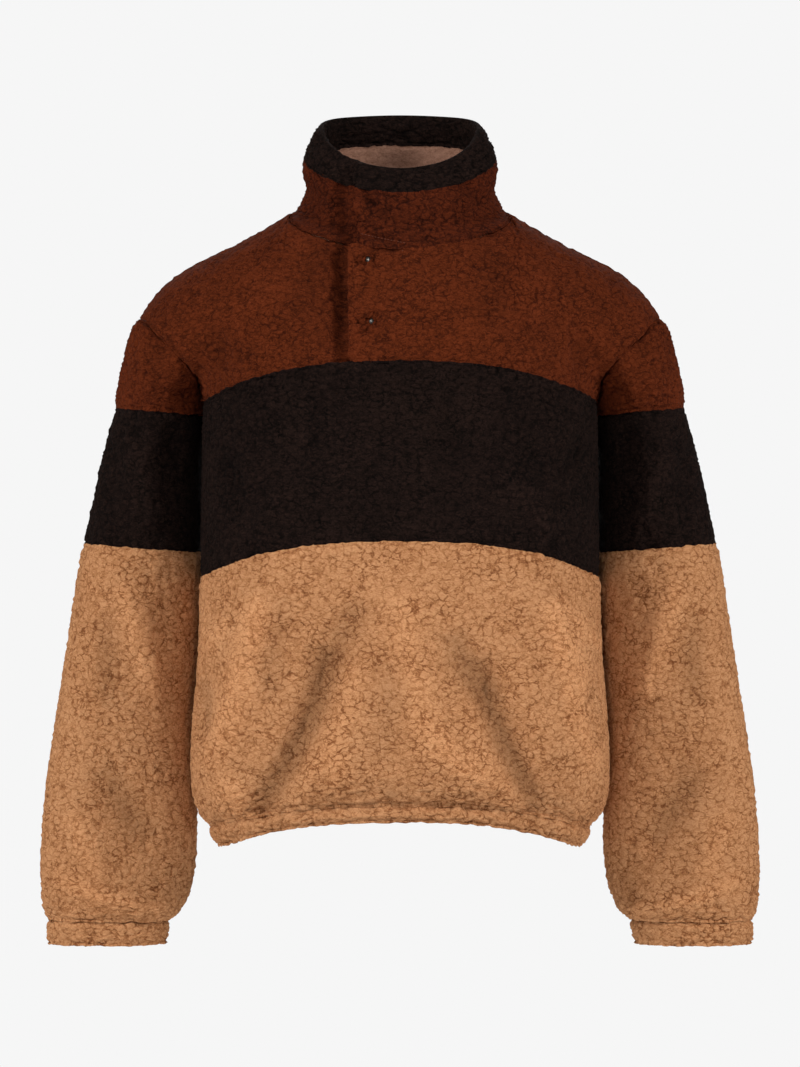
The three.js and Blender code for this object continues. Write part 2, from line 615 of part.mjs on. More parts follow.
// The lower body, puckered where it is sewn to the hem band.
const LOWER_HEIGHTS = [SEAM.hem, -608, -599, -584, -560, -533, -506, -479, -451, -423, -395, SEAM.waist];
function pucker(grid, row, depth) {
  for (const [i, k] of grid[row].entries()) {
    k.p.addScaledVector(k.n, depth * (i % 2 ? -1 : 0.6) * (1 + 0.4 * Math.sin(i * 2.3)));
  }
}
function lowerPanel(around) {
  const grid = foldBody(LOWER_HEIGHTS.map(around));
  pucker(grid, 2, GATHER_HEM);
  pucker(grid, 3, GATHER_HEM / 2);
  return wall(trimmed(grid));
}
add("front_lower_band", lowerPanel(aroundFront), CAMEL);
add("back_lower_band", lowerPanel(aroundBack), CAMEL);

// The hem band, one ring with its elastic inside.
const hemRing = (height) => [...aroundFront(height).slice(0, -1), ...aroundBack(height)];
add("hem_band", wall(trimmed([SEAM.hemEdge, -625, SEAM.hem].map(hemRing), true), CLOTH, true), CAMEL);

// The yokes. The wearer's right front passes under the left one at the placket.
function shoulderLine(side, hole, neckTurn) {
  const line = SHOULDER_SHARES.map((t) => onShoulder(side, t));
  line[0] = hole[0];
  line[SHOULDER_CELLS] = onNeckline(neckTurn);
  return line;
}
const leftShoulder = shoulderLine(1, armholes.left, LEFT_TURNS.at(-1));
const rightShoulder = shoulderLine(-1, armholes.right, RIGHT_TURNS[0]);
const armholeFront = (hole) => hole.slice(0, CHEST_POINT + 1).reverse();
const armholeBack = (hole) => [...hole.slice(CHEST_POINT_BACK), hole[0]];

// A line up the front from the chest seam to the neckline, as many rows as the armhole's front.
function placketLine(x, neckTurn) {
  const [low, high] = [onTrunk(SEAM.chest, turnAt(x)), onNeckline(neckTurn)];
  return share(0, 1, CHEST_POINT).map((t, j) => {
    if (j === 0) return low;
    if (j === CHEST_POINT) return high;
    const guess = low.p.clone().lerp(high.p, t);
    return knot(bodyForm, leave(bodyForm, point(guess.x, TRUNK_MID, guess.z), guess));
  });
}
const leftTop = [...LEFT_TURNS.slice(0, -1).map(onNeckline), ...[...leftShoulder].reverse()];
const flapEdge = placketLine(PLACKET_EDGE, FLAP_TURN.yoke);
const leftYoke = foldBody(span(overShoulders(-1), chestLeft, leftTop, flapEdge, armholeFront(armholes.left)));

const rightTop = [...rightShoulder, ...RIGHT_TURNS.slice(1).map(onNeckline)];
const rampLine = placketLine(PLACKET_EDGE - 24, RIGHT_TURNS.at(-1));
const rightYoke = foldBody(span(overShoulders(-1), chestRight, rightTop, armholeFront(armholes.right), rampLine));
// Under the flap the layer steps in, further at the neck where the collar is two layers thick.
const UNDER_YOKE = CLOTH + 1.4; // with a little air between
const UNDER_COLLAR = CLOTH + COLLAR_LINING + 3 * SEAM_GAP;
const steppedIn = (k, depth) => ({ p: k.p.clone().addScaledVector(k.n, -depth), n: k.n });
const underLines = [placketLine(PLACKET_EDGE - 3, UNDER_TURNS[0]), placketLine(UNDERLAP_EDGE, UNDER_TURNS[1])];
const underRows = rightYoke.map((row, j) => [
  ...row,
  ...underLines.map((line) => steppedIn(line[j], j === CHEST_POINT ? UNDER_COLLAR : UNDER_YOKE)),
]);
add("front_yoke_right", wall(trimmed(underRows)), RUST);

const backTop = [...leftShoulder, ...BACK_TURNS.slice(1, -1).map(onNeckline), ...[...rightShoulder].reverse()];
const backSides = [armholeBack(armholes.left), armholeBack(armholes.right)];
const backYoke = foldBody(span(overShoulders(1), chestBack, backTop, ...backSides));
add("back_yoke", wall(trimmed(backYoke)), RUST);

// Snap caps in the flap. Each sits in a pit of the pile, cut with a plain cylinder.
const SNAPS = [
  { name: "snap_upper", x: -31, z: -56 },
  { name: "snap_lower", x: -28, z: -117 },
];
const SNAP_RADIUS = 4.4;
const PIT = { radius: 5.2, depth: 3.6 };
function placed(geometry, p, n) {
  const turn = new THREE.Quaternion().setFromUnitVectors(point(0, 1, 0), n);
  return geometry.applyQuaternion(turn).translate(p.x, p.y, p.z);
}
function toManifold(geometry) {
  const bare = new THREE.BufferGeometry();
  bare.setAttribute("position", geometry.getAttribute("position"));
  bare.setIndex(geometry.getIndex());
  const merged = mergeVertices(bare, 1e-4);
  const mesh = new wasm.Mesh({
    numProp: 3,
    vertProperties: new Float32Array(merged.getAttribute("position").array),
    triVerts: new Uint32Array(merged.getIndex().array),
  });
  return new wasm.Manifold(mesh);
}
function fromManifold(solid) {
  const mesh = solid.getMesh();
  const geometry = new THREE.BufferGeometry();
  geometry.setAttribute("position", new THREE.BufferAttribute(mesh.vertProperties, 3));
  geometry.setIndex(new THREE.BufferAttribute(mesh.triVerts, 1));
  return geometry;
}
let flap = toManifold(wall(trimmed(leftYoke)));
const snapProfile = [
  [0, -0.9],
  [SNAP_RADIUS - 0.4, -0.9],
  [SNAP_RADIUS, -0.5],
  [SNAP_RADIUS - 0.3, 0.1],
  [SNAP_RADIUS - 1.6, 0.9],
  [0, 1.3],
].map(([x, y]) => new THREE.Vector2(x, y));
for (const snap of SNAPS) {
  const { p, n } = knot(bodyForm, leave(bodyForm, point(snap.x, TRUNK_MID, snap.z), point(snap.x, -200, snap.z)));
  const pit = new THREE.CylinderGeometry(PIT.radius + 1, PIT.radius, PIT.depth + 6, 20).translate(0, 3 - PIT.depth / 2, 0);
  flap = flap.subtract(toManifold(placed(pit, p, n)));
  const cap = new THREE.LatheGeometry(snapProfile, 20).translate(0, SEAM_GAP + 0.9 - PIT.depth, 0);
  add(snap.name, mergeVertices(placed(cap, p, n).deleteAttribute("normal").deleteAttribute("uv"), 1e-4), STEEL, 0.35, 0.9);
}
add("front_yoke_left", fromManifold(flap), RUST);

// Sleeves. The rings start under the arm and go round by the front; 0 is the outer edge.
const SLEEVE_TURNS = share(180, -180, SLEEVE_COLUMNS);
const BAND_SHARES = [1, 0.79, 0.58, 0.37, 0.17, 0];
const LOWER_SLEEVE = [SEAM.cuff, -706, -698, -684, -662, -634, -605, -575, -545, -514, -484, -453, -423, -393, -363, SEAM.sleeveWaist];
const CAP_PUFF = 3.5;
for (const [name, side] of [["left", 1], ["right", -1]]) {
  const hole = armholes[name].map((k) => {
    const deep = smoothstep(-k.p.z, 160, 180);
    return { p: k.p.clone().add(point(side * deep * SEAM_GAP, 0, 0)), n: k.n };
  });
  const shift = side > 0 ? 0 : 9;
  const foldedRow = (row) =>
    row.map((k) => {
      const seen = { p: point(Math.abs(k.p.x), k.p.y, k.p.z + shift), n: k.n };
      const lift = folded(seen, SLEEVE_FOLDS_FRONT, SLEEVE_FOLDS_BACK).p.sub(seen.p).dot(k.n);
      return { p: k.p.clone().addScaledVector(k.n, lift), n: k.n };
    });
  const ring = (outer, inner) => SLEEVE_TURNS.map((turn) => onSleeve(side, outer, inner, turn));

  const chestRing = ring(SEAM.sleeveChest, SEAM.sleeveChestInner);
  chestRing[0] = hole[UNDERARM_POINT];
  chestRing[1] = hole[UNDERARM_POINT - 1];
  chestRing[SLEEVE_COLUMNS - 1] = hole[UNDERARM_POINT + 1];
  chestRing[SLEEVE_COLUMNS] = hole[UNDERARM_POINT];
  const bandRings = BAND_SHARES.map((t) =>
    t === 0
      ? chestRing
      : ring(lerp(SEAM.sleeveChest, SEAM.sleeveWaist, t), lerp(SEAM.sleeveChestInner - 6, SEAM.sleeveWaistInner, t)),
  );
  add(`sleeve_${name}_band`, wall(trimmed(bandRings.map(foldedRow), true), CLOTH, true), ESPRESSO);

  const lag = (height) => lerp(SEAM.sleeveWaistInner - SEAM.sleeveWaist, 0, (height - SEAM.sleeveWaist) / (SEAM.cuff - SEAM.sleeveWaist));
  const lowerRings = LOWER_SLEEVE.map((height) => foldedRow(ring(height, height + lag(height))));
  for (const [row, depth] of [[2, GATHER_CUFF], [3, GATHER_CUFF / 2]]) {
    pucker(lowerRings, row, depth);
    lowerRings[row][SLEEVE_COLUMNS] = lowerRings[row][0];
  }
  add(`sleeve_${name}_lower`, wall(trimmed(lowerRings, true), CLOTH, true), CAMEL);

  const cuffRings = [SEAM.cuffEdge, -723, SEAM.cuff].map((height) => ring(height, height));
  add(`cuff_${name}`, wall(trimmed(cuffRings, true), CLOTH, true), CAMEL);

  // The cap lies between the armhole and the band, and puffs a little above the armhole seam.
  const seam = chestRing.slice(1, SLEEVE_COLUMNS);
  const crown = [];
  for (const [from, to] of [[hole[1], hole[0]], [hole[0], hole.at(-1)]]) {
    for (const t of share(0, 1, (SLEEVE_COLUMNS - 2) / 2).slice(crown.length ? 1 : 0)) {
      crown.push({ p: from.p.clone().lerp(to.p, t), n: from.n.clone().lerp(to.n, t) });
    }
  }
  const frontEdge = hole.slice(1, UNDERARM_POINT).reverse();
  const backEdge = hole.slice(UNDERARM_POINT + 1);
  const chart = roundSleeve(side);
  const cap = span(chart, seam, crown, frontEdge, backEdge);
  const nearCrown = cap.length - 2;
  for (let i = 1; i < cap[0].length - 1; i += 1) {
    cap[nearCrown][i] = charted(chart, chart.flat(cap[nearCrown][i].p.lerp(crown[i].p, 0.5)));
    for (const row of cap.slice(1, -1)) row[i].p.addScaledVector(row[i].n, CAP_PUFF);
  }
  add(`sleeve_${name}_cap`, wall(trimmed(cap)), RUST);
}

// The collar: an outer wall, its lining, and a folded band along the rim. All three run from the
// edge that laps over, round the neck, to the edge that lies under it.
const collarTurns = [...LEFT_TURNS, ...BACK_TURNS.slice(1), ...RIGHT_TURNS.slice(1), ...UNDER_TURNS];
const WALL_SHARES = [0, 0.12, 0.28, 0.5, 0.75, 1];
const columnInset = (column) => (column > collarTurns.length - 3 ? UNDER_COLLAR : 0);
function collarKnot(column, t) {
  const turn = column === 0 ? lerp(FLAP_TURN.low, FLAP_TURN.high, t) : collarTurns[column];
  const [seam, rim] = ["seam", "rim"].map((c) => read(COLLAR_EDGE, c, awayFromFront(turn)));
  return steppedIn(onCollar(turn, lerp(seam, rim, t), read(COLLAR_PROFILE, "out", t)), columnInset(column));
}
function neckKnot(column) {
  const k = onNeckline(collarTurns[column]);
  if (column > 0) return steppedIn(k, columnInset(column));
  const t = (FLAP_TURN.low - FLAP_TURN.yoke) / (LEFT_TURNS[1] - LEFT_TURNS[0]);
  return { p: k.p.lerp(onNeckline(LEFT_TURNS[1]).p, t), n: k.n };
}
function bandShare(column) {
  const [seam, rim, band] = ["seam", "rim", "band"].map((c) => read(COLLAR_EDGE, c, awayFromFront(collarTurns[column])));
  return 1 - band / (rim - seam);
}
const collarWall = WALL_SHARES.map((part) =>
  collarTurns.map((_, column) => (part === 0 ? neckKnot(column) : collarKnot(column, part * bandShare(column)))),
);
add("collar_outer", wall(trimmed(collarWall)), RUST);
const collarFacing = collarWall.map((row) => row.map((k) => steppedIn(k, CLOTH + SEAM_GAP)));
add("collar_lining", wall(trimmed(collarFacing), COLLAR_LINING), BISCUIT);

// The folded band's section: up the outside, round the fold and down the inside.
const BAND_THICK = CLOTH + SEAM_GAP + COLLAR_LINING;
const BAND_SECTION = [
  { high: 0, deep: 0 },
  { high: 0.25, deep: -0.1 },
  { high: 0.55, deep: -0.12 },
  { high: 0.8, deep: 0 },
  { high: 0.94, deep: 0.18 },
  { high: 1, deep: 0.5 },
  { high: 0.94, deep: 0.82 },
  { high: 0.8, deep: 1 },
  { high: 0.55, deep: 1.08 },
  { high: 0.25, deep: 1.06 },
  { high: 0, deep: 1 },
  { high: 0, deep: (CLOTH + SEAM_GAP) / BAND_THICK },
  { high: 0, deep: CLOTH / BAND_THICK },
];
const bandSections = collarTurns.map((_, column) => {
  const low = bandShare(column);
  return BAND_SECTION.map(({ high, deep }) => {
    const k = collarKnot(column, lerp(low, 1, high));
    return k.p.addScaledVector(k.n, -deep * BAND_THICK).add(point(0, 0, high === 0 ? SEAM_GAP / 2 : 0));
  });
});
function bar(sections) {
  const wide = sections[0].length;
  const corners = sections.map((_, j) => share(0, wide, wide).map((i) => j * wide + (i % wide)));
  const triangles = [];
  const points = sections.flat();
  quads(points, corners, triangles);
  const last = (sections.length - 1) * wide;
  for (let i = 1; i + 1 < wide; i += 1) {
    triangles.push(0, i + 1, i);
    triangles.push(last, last + i, last + i + 1);
  }
  return closed(points, triangles);
}
add("collar_band", bar(bandSections), ESPRESSO);

export default pullover;
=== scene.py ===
"""A sherpa fleece pullover: each panel is dressed in its pile over the form of its own solid."""
import math

import bmesh
import bpy
import numpy as np
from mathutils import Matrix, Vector
from mathutils.bvhtree import BVHTree


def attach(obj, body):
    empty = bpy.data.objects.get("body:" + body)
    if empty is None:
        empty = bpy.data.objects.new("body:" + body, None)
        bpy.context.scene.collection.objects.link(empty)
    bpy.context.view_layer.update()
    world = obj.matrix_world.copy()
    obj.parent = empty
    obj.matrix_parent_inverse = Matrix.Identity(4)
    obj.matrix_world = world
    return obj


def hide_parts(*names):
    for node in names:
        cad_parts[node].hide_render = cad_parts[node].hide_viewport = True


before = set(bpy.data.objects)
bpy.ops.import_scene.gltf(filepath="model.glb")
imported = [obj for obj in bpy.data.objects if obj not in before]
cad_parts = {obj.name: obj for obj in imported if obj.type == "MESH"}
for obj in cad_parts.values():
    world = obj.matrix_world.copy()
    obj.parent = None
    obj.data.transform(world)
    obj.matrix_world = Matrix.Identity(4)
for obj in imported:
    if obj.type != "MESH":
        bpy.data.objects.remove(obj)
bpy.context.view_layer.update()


# Chest bands: two panels of espresso sherpa, front and back, sewn between the yokes above and
# the camel panels below. Sherpa is a polyester pile on a knitted back, tumbled until the pile
# curls into crumbs with cracks between them.
MM = 0.001
WELD = 0.01 * MM  # points nearer than this are one
SEAM_ANGLE = math.radians(50)  # an edge that bends more than this is the rim of a panel
CRUMB = 7.5 * MM  # from one crumb to the next
PILE = 2.6 * MM  # from the top of a crumb down to its cracks
CURL = 2.9 * MM  # from one curl of pile to the next


def linear(colour):
    """An sRGB hex colour as Blender's linear one."""
    parts = [int(colour[i : i + 2], 16) / 255 for i in (0, 2, 4)]
    return (*[p / 12.92 if p <= 0.04045 else ((p + 0.055) / 1.055) ** 2.4 for p in parts], 1.0)


def add(tree, kind, settings=None, links=None):
    """Adds one node with its settings, and the values or sockets that go into it."""
    made = tree.nodes.new(kind)
    for name, value in (settings or {}).items():
        setattr(made, name, value)
    for name, value in (links or {}).items():
        if isinstance(value, bpy.types.NodeSocket):
            tree.links.new(value, made.inputs[name])
        else:
            made.inputs[name].default_value = value
    return made


def geometry_tree(name, sockets):
    """An empty geometry tree with named inputs for its sizes."""
    tree = bpy.data.node_groups.new(name, "GeometryNodeTree")
    tree.interface.new_socket("Geometry", in_out="INPUT", socket_type="NodeSocketGeometry")
    tree.interface.new_socket("Geometry", in_out="OUTPUT", socket_type="NodeSocketGeometry")
    for label, kind in sockets.items():
        tree.interface.new_socket(label, in_out="INPUT", socket_type="NodeSocket" + kind)
    return tree, tree.nodes.new("NodeGroupInput").outputs


def shaped(piece, tree, values):
    """Runs a geometry tree on a piece and leaves it a plain mesh."""
    modifier = piece.modifiers.new(tree.name, "NODES")
    modifier.node_group = tree
    for socket in tree.interface.items_tree:
        if socket.in_out == "INPUT" and socket.name in values:
            modifier[socket.identifier] = values[socket.name]
    evaluated = piece.evaluated_get(bpy.context.evaluated_depsgraph_get())
    result = bpy.data.meshes.new_from_object(evaluated)
    piece.modifiers.remove(modifier)
    piece.data = result


def wandered(tree, place, bumps, reach):
    """A place moved about by a noise with so many bumps a metre, by up to half the reach in
    metres each way."""
    noise = add(tree, "ShaderNodeTexNoise", None, {"Vector": place, "Scale": bumps, "Detail": 1.0})
    centred = add(
        tree,
        "ShaderNodeVectorMath",
        {"operation": "SUBTRACT"},
        {0: noise.outputs[1], 1: (0.5, 0.5, 0.5)},
    )
    shift = add(
        tree,
        "ShaderNodeVectorMath",
        {"operation": "SCALE"},
        {0: centred.outputs[0], "Scale": reach},
    )
    return add(tree, "ShaderNodeVectorMath", {"operation": "ADD"}, {0: place, 1: shift.outputs[0]}).outputs[0]


# How a crack bends between the crumbs, and how a seam does: bumps a metre, and the reach.
BROAD_BEND = (70.0, 9 * MM)
SHORT_BEND = (330.0, 4.5 * MM)
SEAM_BEND = (150.0, 4.5 * MM)
CRUMB_SHAPE = (0.86, 0.95, 1.2)  # the crumbs lie wider across the cloth than down it


def crumbs(tree, place, scale):
    """The distance to the nearest crack between crumbs, in crumbs: cells with crooked edges."""
    broad = wandered(tree, place, *BROAD_BEND)
    crooked = wandered(tree, broad, *SHORT_BEND)
    laid = add(
        tree, "ShaderNodeVectorMath", {"operation": "MULTIPLY"}, {0: crooked, 1: CRUMB_SHAPE}
    )
    cells = add(
        tree,
        "ShaderNodeTexVoronoi",
        {"feature": "DISTANCE_TO_EDGE"},
        {"Vector": laid.outputs[0], "Scale": scale, "Randomness": 1.0},
    )
    return cells.outputs["Distance"]


PATCHES = 38.0  # a metre
STRETCHES = 150.0  # a metre, along a crack


def openness(tree, place):
    """How open the cracks are, up to 1: more open in some patches a few centimetres wide, and each
    one open for one stretch of about a centimetre and half shut for the next."""
    patch = add(tree, "ShaderNodeTexNoise", None, {"Vector": place, "Scale": PATCHES, "Detail": 1.0})
    patch = add(
        tree,
        "ShaderNodeMapRange",
        {"interpolation_type": "SMOOTHSTEP"},
        {"Value": patch.outputs[0], "From Min": 0.3, "From Max": 0.7, "To Min": 0.6, "To Max": 1.0},
    )
    stretch = add(
        tree,
        "ShaderNodeTexNoise",
        None,
        {"Vector": place, "Scale": STRETCHES, "Detail": 1.0},
    )
    stretch = add(
        tree,
        "ShaderNodeMapRange",
        {"interpolation_type": "SMOOTHSTEP"},
        {"Value": stretch.outputs[0], "From Min": 0.36, "From Max": 0.58, "To Min": 0.4, "To Max": 1.0},
    )
    return add(
        tree,
        "ShaderNodeMath",
        {"operation": "MULTIPLY"},
        {0: patch.outputs[0], 1: stretch.outputs[0]},
    ).outputs[0]


def rim_edges(tree):
    """The edges where a panel's two faces meet its cut sides."""
    bend = add(tree, "GeometryNodeInputMeshEdgeAngle").outputs[0]
    return add(
        tree, "FunctionNodeCompare", {"operation": "GREATER_THAN"}, {0: bend, 1: SEAM_ANGLE}
    ).outputs[0]


# The panel's smooth form: its cells are halved with the rims kept.
smooth_form, into = geometry_tree("smooth_form", {"Levels": "Int"})
halved = add(
    smooth_form,
    "GeometryNodeSubdivisionSurface",
    None,
    {"Mesh": into["Geometry"], "Level": into["Levels"], "Edge Crease": rim_edges(smooth_form)},
)
real = add(smooth_form, "GeometryNodeRealizeInstances", None, {"Geometry": halved.outputs[0]})
add(smooth_form, "NodeGroupOutput", None, {"Geometry": real.outputs[0]})

# The pile: cracks pressed into the smooth form between the crumbs, full on the outside of the
# garment and slight on its knitted inside, and rolled down into each seam.
CRACK_WIDTH = 0.3  # from the bottom of a crack to the top of its crumb, in crumbs
ROLL_WIDTH = 7 * MM  # from a seam to where the pile has its full height
UNEVEN = 0.9 * MM  # how much the height of the pile wanders, up and down
UNEVEN_BUMPS = 260.0  # a metre
EDGE_SWELL = 0.5 * MM  # how far a cut edge swells towards the next panel
SEAM_PILE = (1 * MM, 9 * MM)  # from a seam: where the straying starts to fade, and where it ends
FACING = (0.25, 0.75)  # how squarely a point faces out or in, from a cut edge to a plain face
pile_form, into = geometry_tree(
    "sherpa_pile",
    {
        "Levels": "Int",
        "Crumb Size": "Float",
        "Pile Depth": "Float",
        "Loft": "Float",
        "Inside Pile": "Float",
        "Roll": "Float",
        "Cloth": "Material",
    },
)
rims = add(
    pile_form,
    "GeometryNodeSeparateGeometry",
    {"domain": "EDGE"},
    {"Geometry": into["Geometry"], "Selection": rim_edges(pile_form)},
)
halved = add(
    pile_form,
    "GeometryNodeSubdivisionSurface",
    None,
    {"Mesh": into["Geometry"], "Level": into["Levels"]},
)
place = add(pile_form, "GeometryNodeInputPosition").outputs[0]
kept = add(
    pile_form,
    "GeometryNodeStoreNamedAttribute",
    {"data_type": "FLOAT_VECTOR"},
    {"Geometry": halved.outputs[0], "Name": "cloth", "Value": place},
)
facing = add(pile_form, "GeometryNodeInputNamedAttribute", None, {"Name": "facing"}).outputs[0]
to_rim = add(pile_form, "GeometryNodeProximity", {"target_element": "EDGES"}, {0: rims.outputs[0]})
roll = add(
    pile_form,
    "ShaderNodeMapRange",
    {"interpolation_type": "SMOOTHSTEP"},
    {
        "Value": to_rim.outputs["Distance"],
        "From Min": 0.0,
        "From Max": ROLL_WIDTH,
        "To Min": -1.0,
        "To Max": 0.0,
    },
)
roll = add(
    pile_form,
    "ShaderNodeMath",
    {"operation": "MULTIPLY"},
    {0: roll.outputs[0], 1: into["Roll"]},
)
scale = add(pile_form, "ShaderNodeMath", {"operation": "DIVIDE"}, {0: 1.0, 1: into["Crumb Size"]})
from_crack = crumbs(pile_form, place, scale.outputs[0])
crack = add(
    pile_form,
    "ShaderNodeMapRange",
    {"interpolation_type": "SMOOTHSTEP"},
    {"Value": from_crack, "From Min": 0.0, "From Max": CRACK_WIDTH, "To Min": -1.0, "To Max": 0.0},
)
depth = add(
    pile_form,
    "ShaderNodeMath",
    {"operation": "MULTIPLY"},
    {0: crack.outputs[0], 1: into["Pile Depth"]},
)
depth = add(
    pile_form,
    "ShaderNodeMath",
    {"operation": "MULTIPLY"},
    {0: depth.outputs[0], 1: openness(pile_form, place)},
)
uneven = add(
    pile_form,
    "ShaderNodeTexNoise",
    None,
    {"Vector": place, "Scale": UNEVEN_BUMPS, "Detail": 1.0},
)
uneven = add(
    pile_form,
    "ShaderNodeMapRange",
    None,
    {
        "Value": uneven.outputs[0],
        "From Min": 0.25,
        "From Max": 0.75,
        "To Min": -UNEVEN,
        "To Max": UNEVEN,
    },
)
height = add(
    pile_form,
    "ShaderNodeMath",
    {"operation": "ADD"},
    {0: depth.outputs[0], 1: uneven.outputs[0]},
)
height = add(pile_form, "ShaderNodeMath", {"operation": "ADD"}, {0: height.outputs[0], 1: into["Loft"]})
# a face that looks out of the garment is pile, one that looks into it is the back of the knit,
# and the cut edge between them only swells enough to meet the next panel
share = add(pile_form, "ShaderNodeMix", {"data_type": "FLOAT"}, {2: into["Inside Pile"], 3: 1.0})
outward = add(
    pile_form, "ShaderNodeMath", {"operation": "GREATER_THAN"}, {0: facing, 1: 0.0}
)
pile_form.links.new(outward.outputs[0], share.inputs[0])
height = add(
    pile_form,
    "ShaderNodeMath",
    {"operation": "MULTIPLY"},
    {0: height.outputs[0], 1: share.outputs[0]},
)
height = add(
    pile_form,
    "ShaderNodeMath",
    {"operation": "ADD"},
    {0: height.outputs[0], 1: roll.outputs[0]},
)
flatness = add(pile_form, "ShaderNodeMath", {"operation": "ABSOLUTE"}, {0: facing})
on_face = add(
    pile_form,
    "ShaderNodeMapRange",
    {"interpolation_type": "SMOOTHSTEP"},
    {"Value": flatness.outputs[0], "From Min": FACING[0], "From Max": FACING[1]},
)
height = add(
    pile_form,
    "ShaderNodeMix",
    {"data_type": "FLOAT"},
    {0: on_face.outputs[0], 2: EDGE_SWELL, 3: height.outputs[0]},
)
normal = add(pile_form, "GeometryNodeInputNormal").outputs[0]
offset = add(
    pile_form,
    "ShaderNodeVectorMath",
    {"operation": "SCALE"},
    {0: normal, "Scale": height.outputs[0]},
)
# the pile of two panels tangles across their seam, so the seam wanders by a millimetre or so
strayed = add(
    pile_form,
    "ShaderNodeVectorMath",
    {"operation": "SUBTRACT"},
    {0: wandered(pile_form, place, *SEAM_BEND), 1: place},
)
beside_seam = add(
    pile_form,
    "ShaderNodeMapRange",
    {"interpolation_type": "SMOOTHSTEP"},
    {
        "Value": to_rim.outputs["Distance"],
        "From Min": SEAM_PILE[0],
        "From Max": SEAM_PILE[1],
        "To Min": 1.0,
        "To Max": 0.0,
    },
)
strayed = add(
    pile_form,
    "ShaderNodeVectorMath",
    {"operation": "SCALE"},
    {0: strayed.outputs[0], "Scale": beside_seam.outputs[0]},
)
offset = add(
    pile_form,
    "ShaderNodeVectorMath",
    {"operation": "ADD"},
    {0: offset.outputs[0], 1: strayed.outputs[0]},
)
lifted = add(
    pile_form,
    "GeometryNodeSetPosition",
    None,
    {"Geometry": kept.outputs[0], "Offset": offset.outputs[0]},
)
soft = add(pile_form, "GeometryNodeSetShadeSmooth", None, {"Geometry": lifted.outputs[0]})
real = add(pile_form, "GeometryNodeRealizeInstances", None, {"Geometry": soft.outputs[0]})
dressed = add(
    pile_form,
    "GeometryNodeSetMaterial",
    None,
    {"Geometry": real.outputs[0], "Material": into["Cloth"]},
)
add(pile_form, "NodeGroupOutput", None, {"Geometry": dressed.outputs[0]})

CRACK_SHADE = 0.17  # how far the dark of a crack reaches into its crumb, in crumbs
CURL_SHAPE = (0.75, 0.9, 1.25)  # the curls lie a little more across the cloth than down it
CURL_DEPTH = 1.8 * MM
DYE_CLOUDS = 26.0  # a metre: the dye takes unevenly over a few centimetres
DYE_SHIFT = 0.05  # and moves the tone by this much of its ramp
TROUGH, RIDGE = -11.0, 8.0  # the folds' lowest and highest lift that still change the tone, in mm: painted shade in the troughs and painted light on the ridges
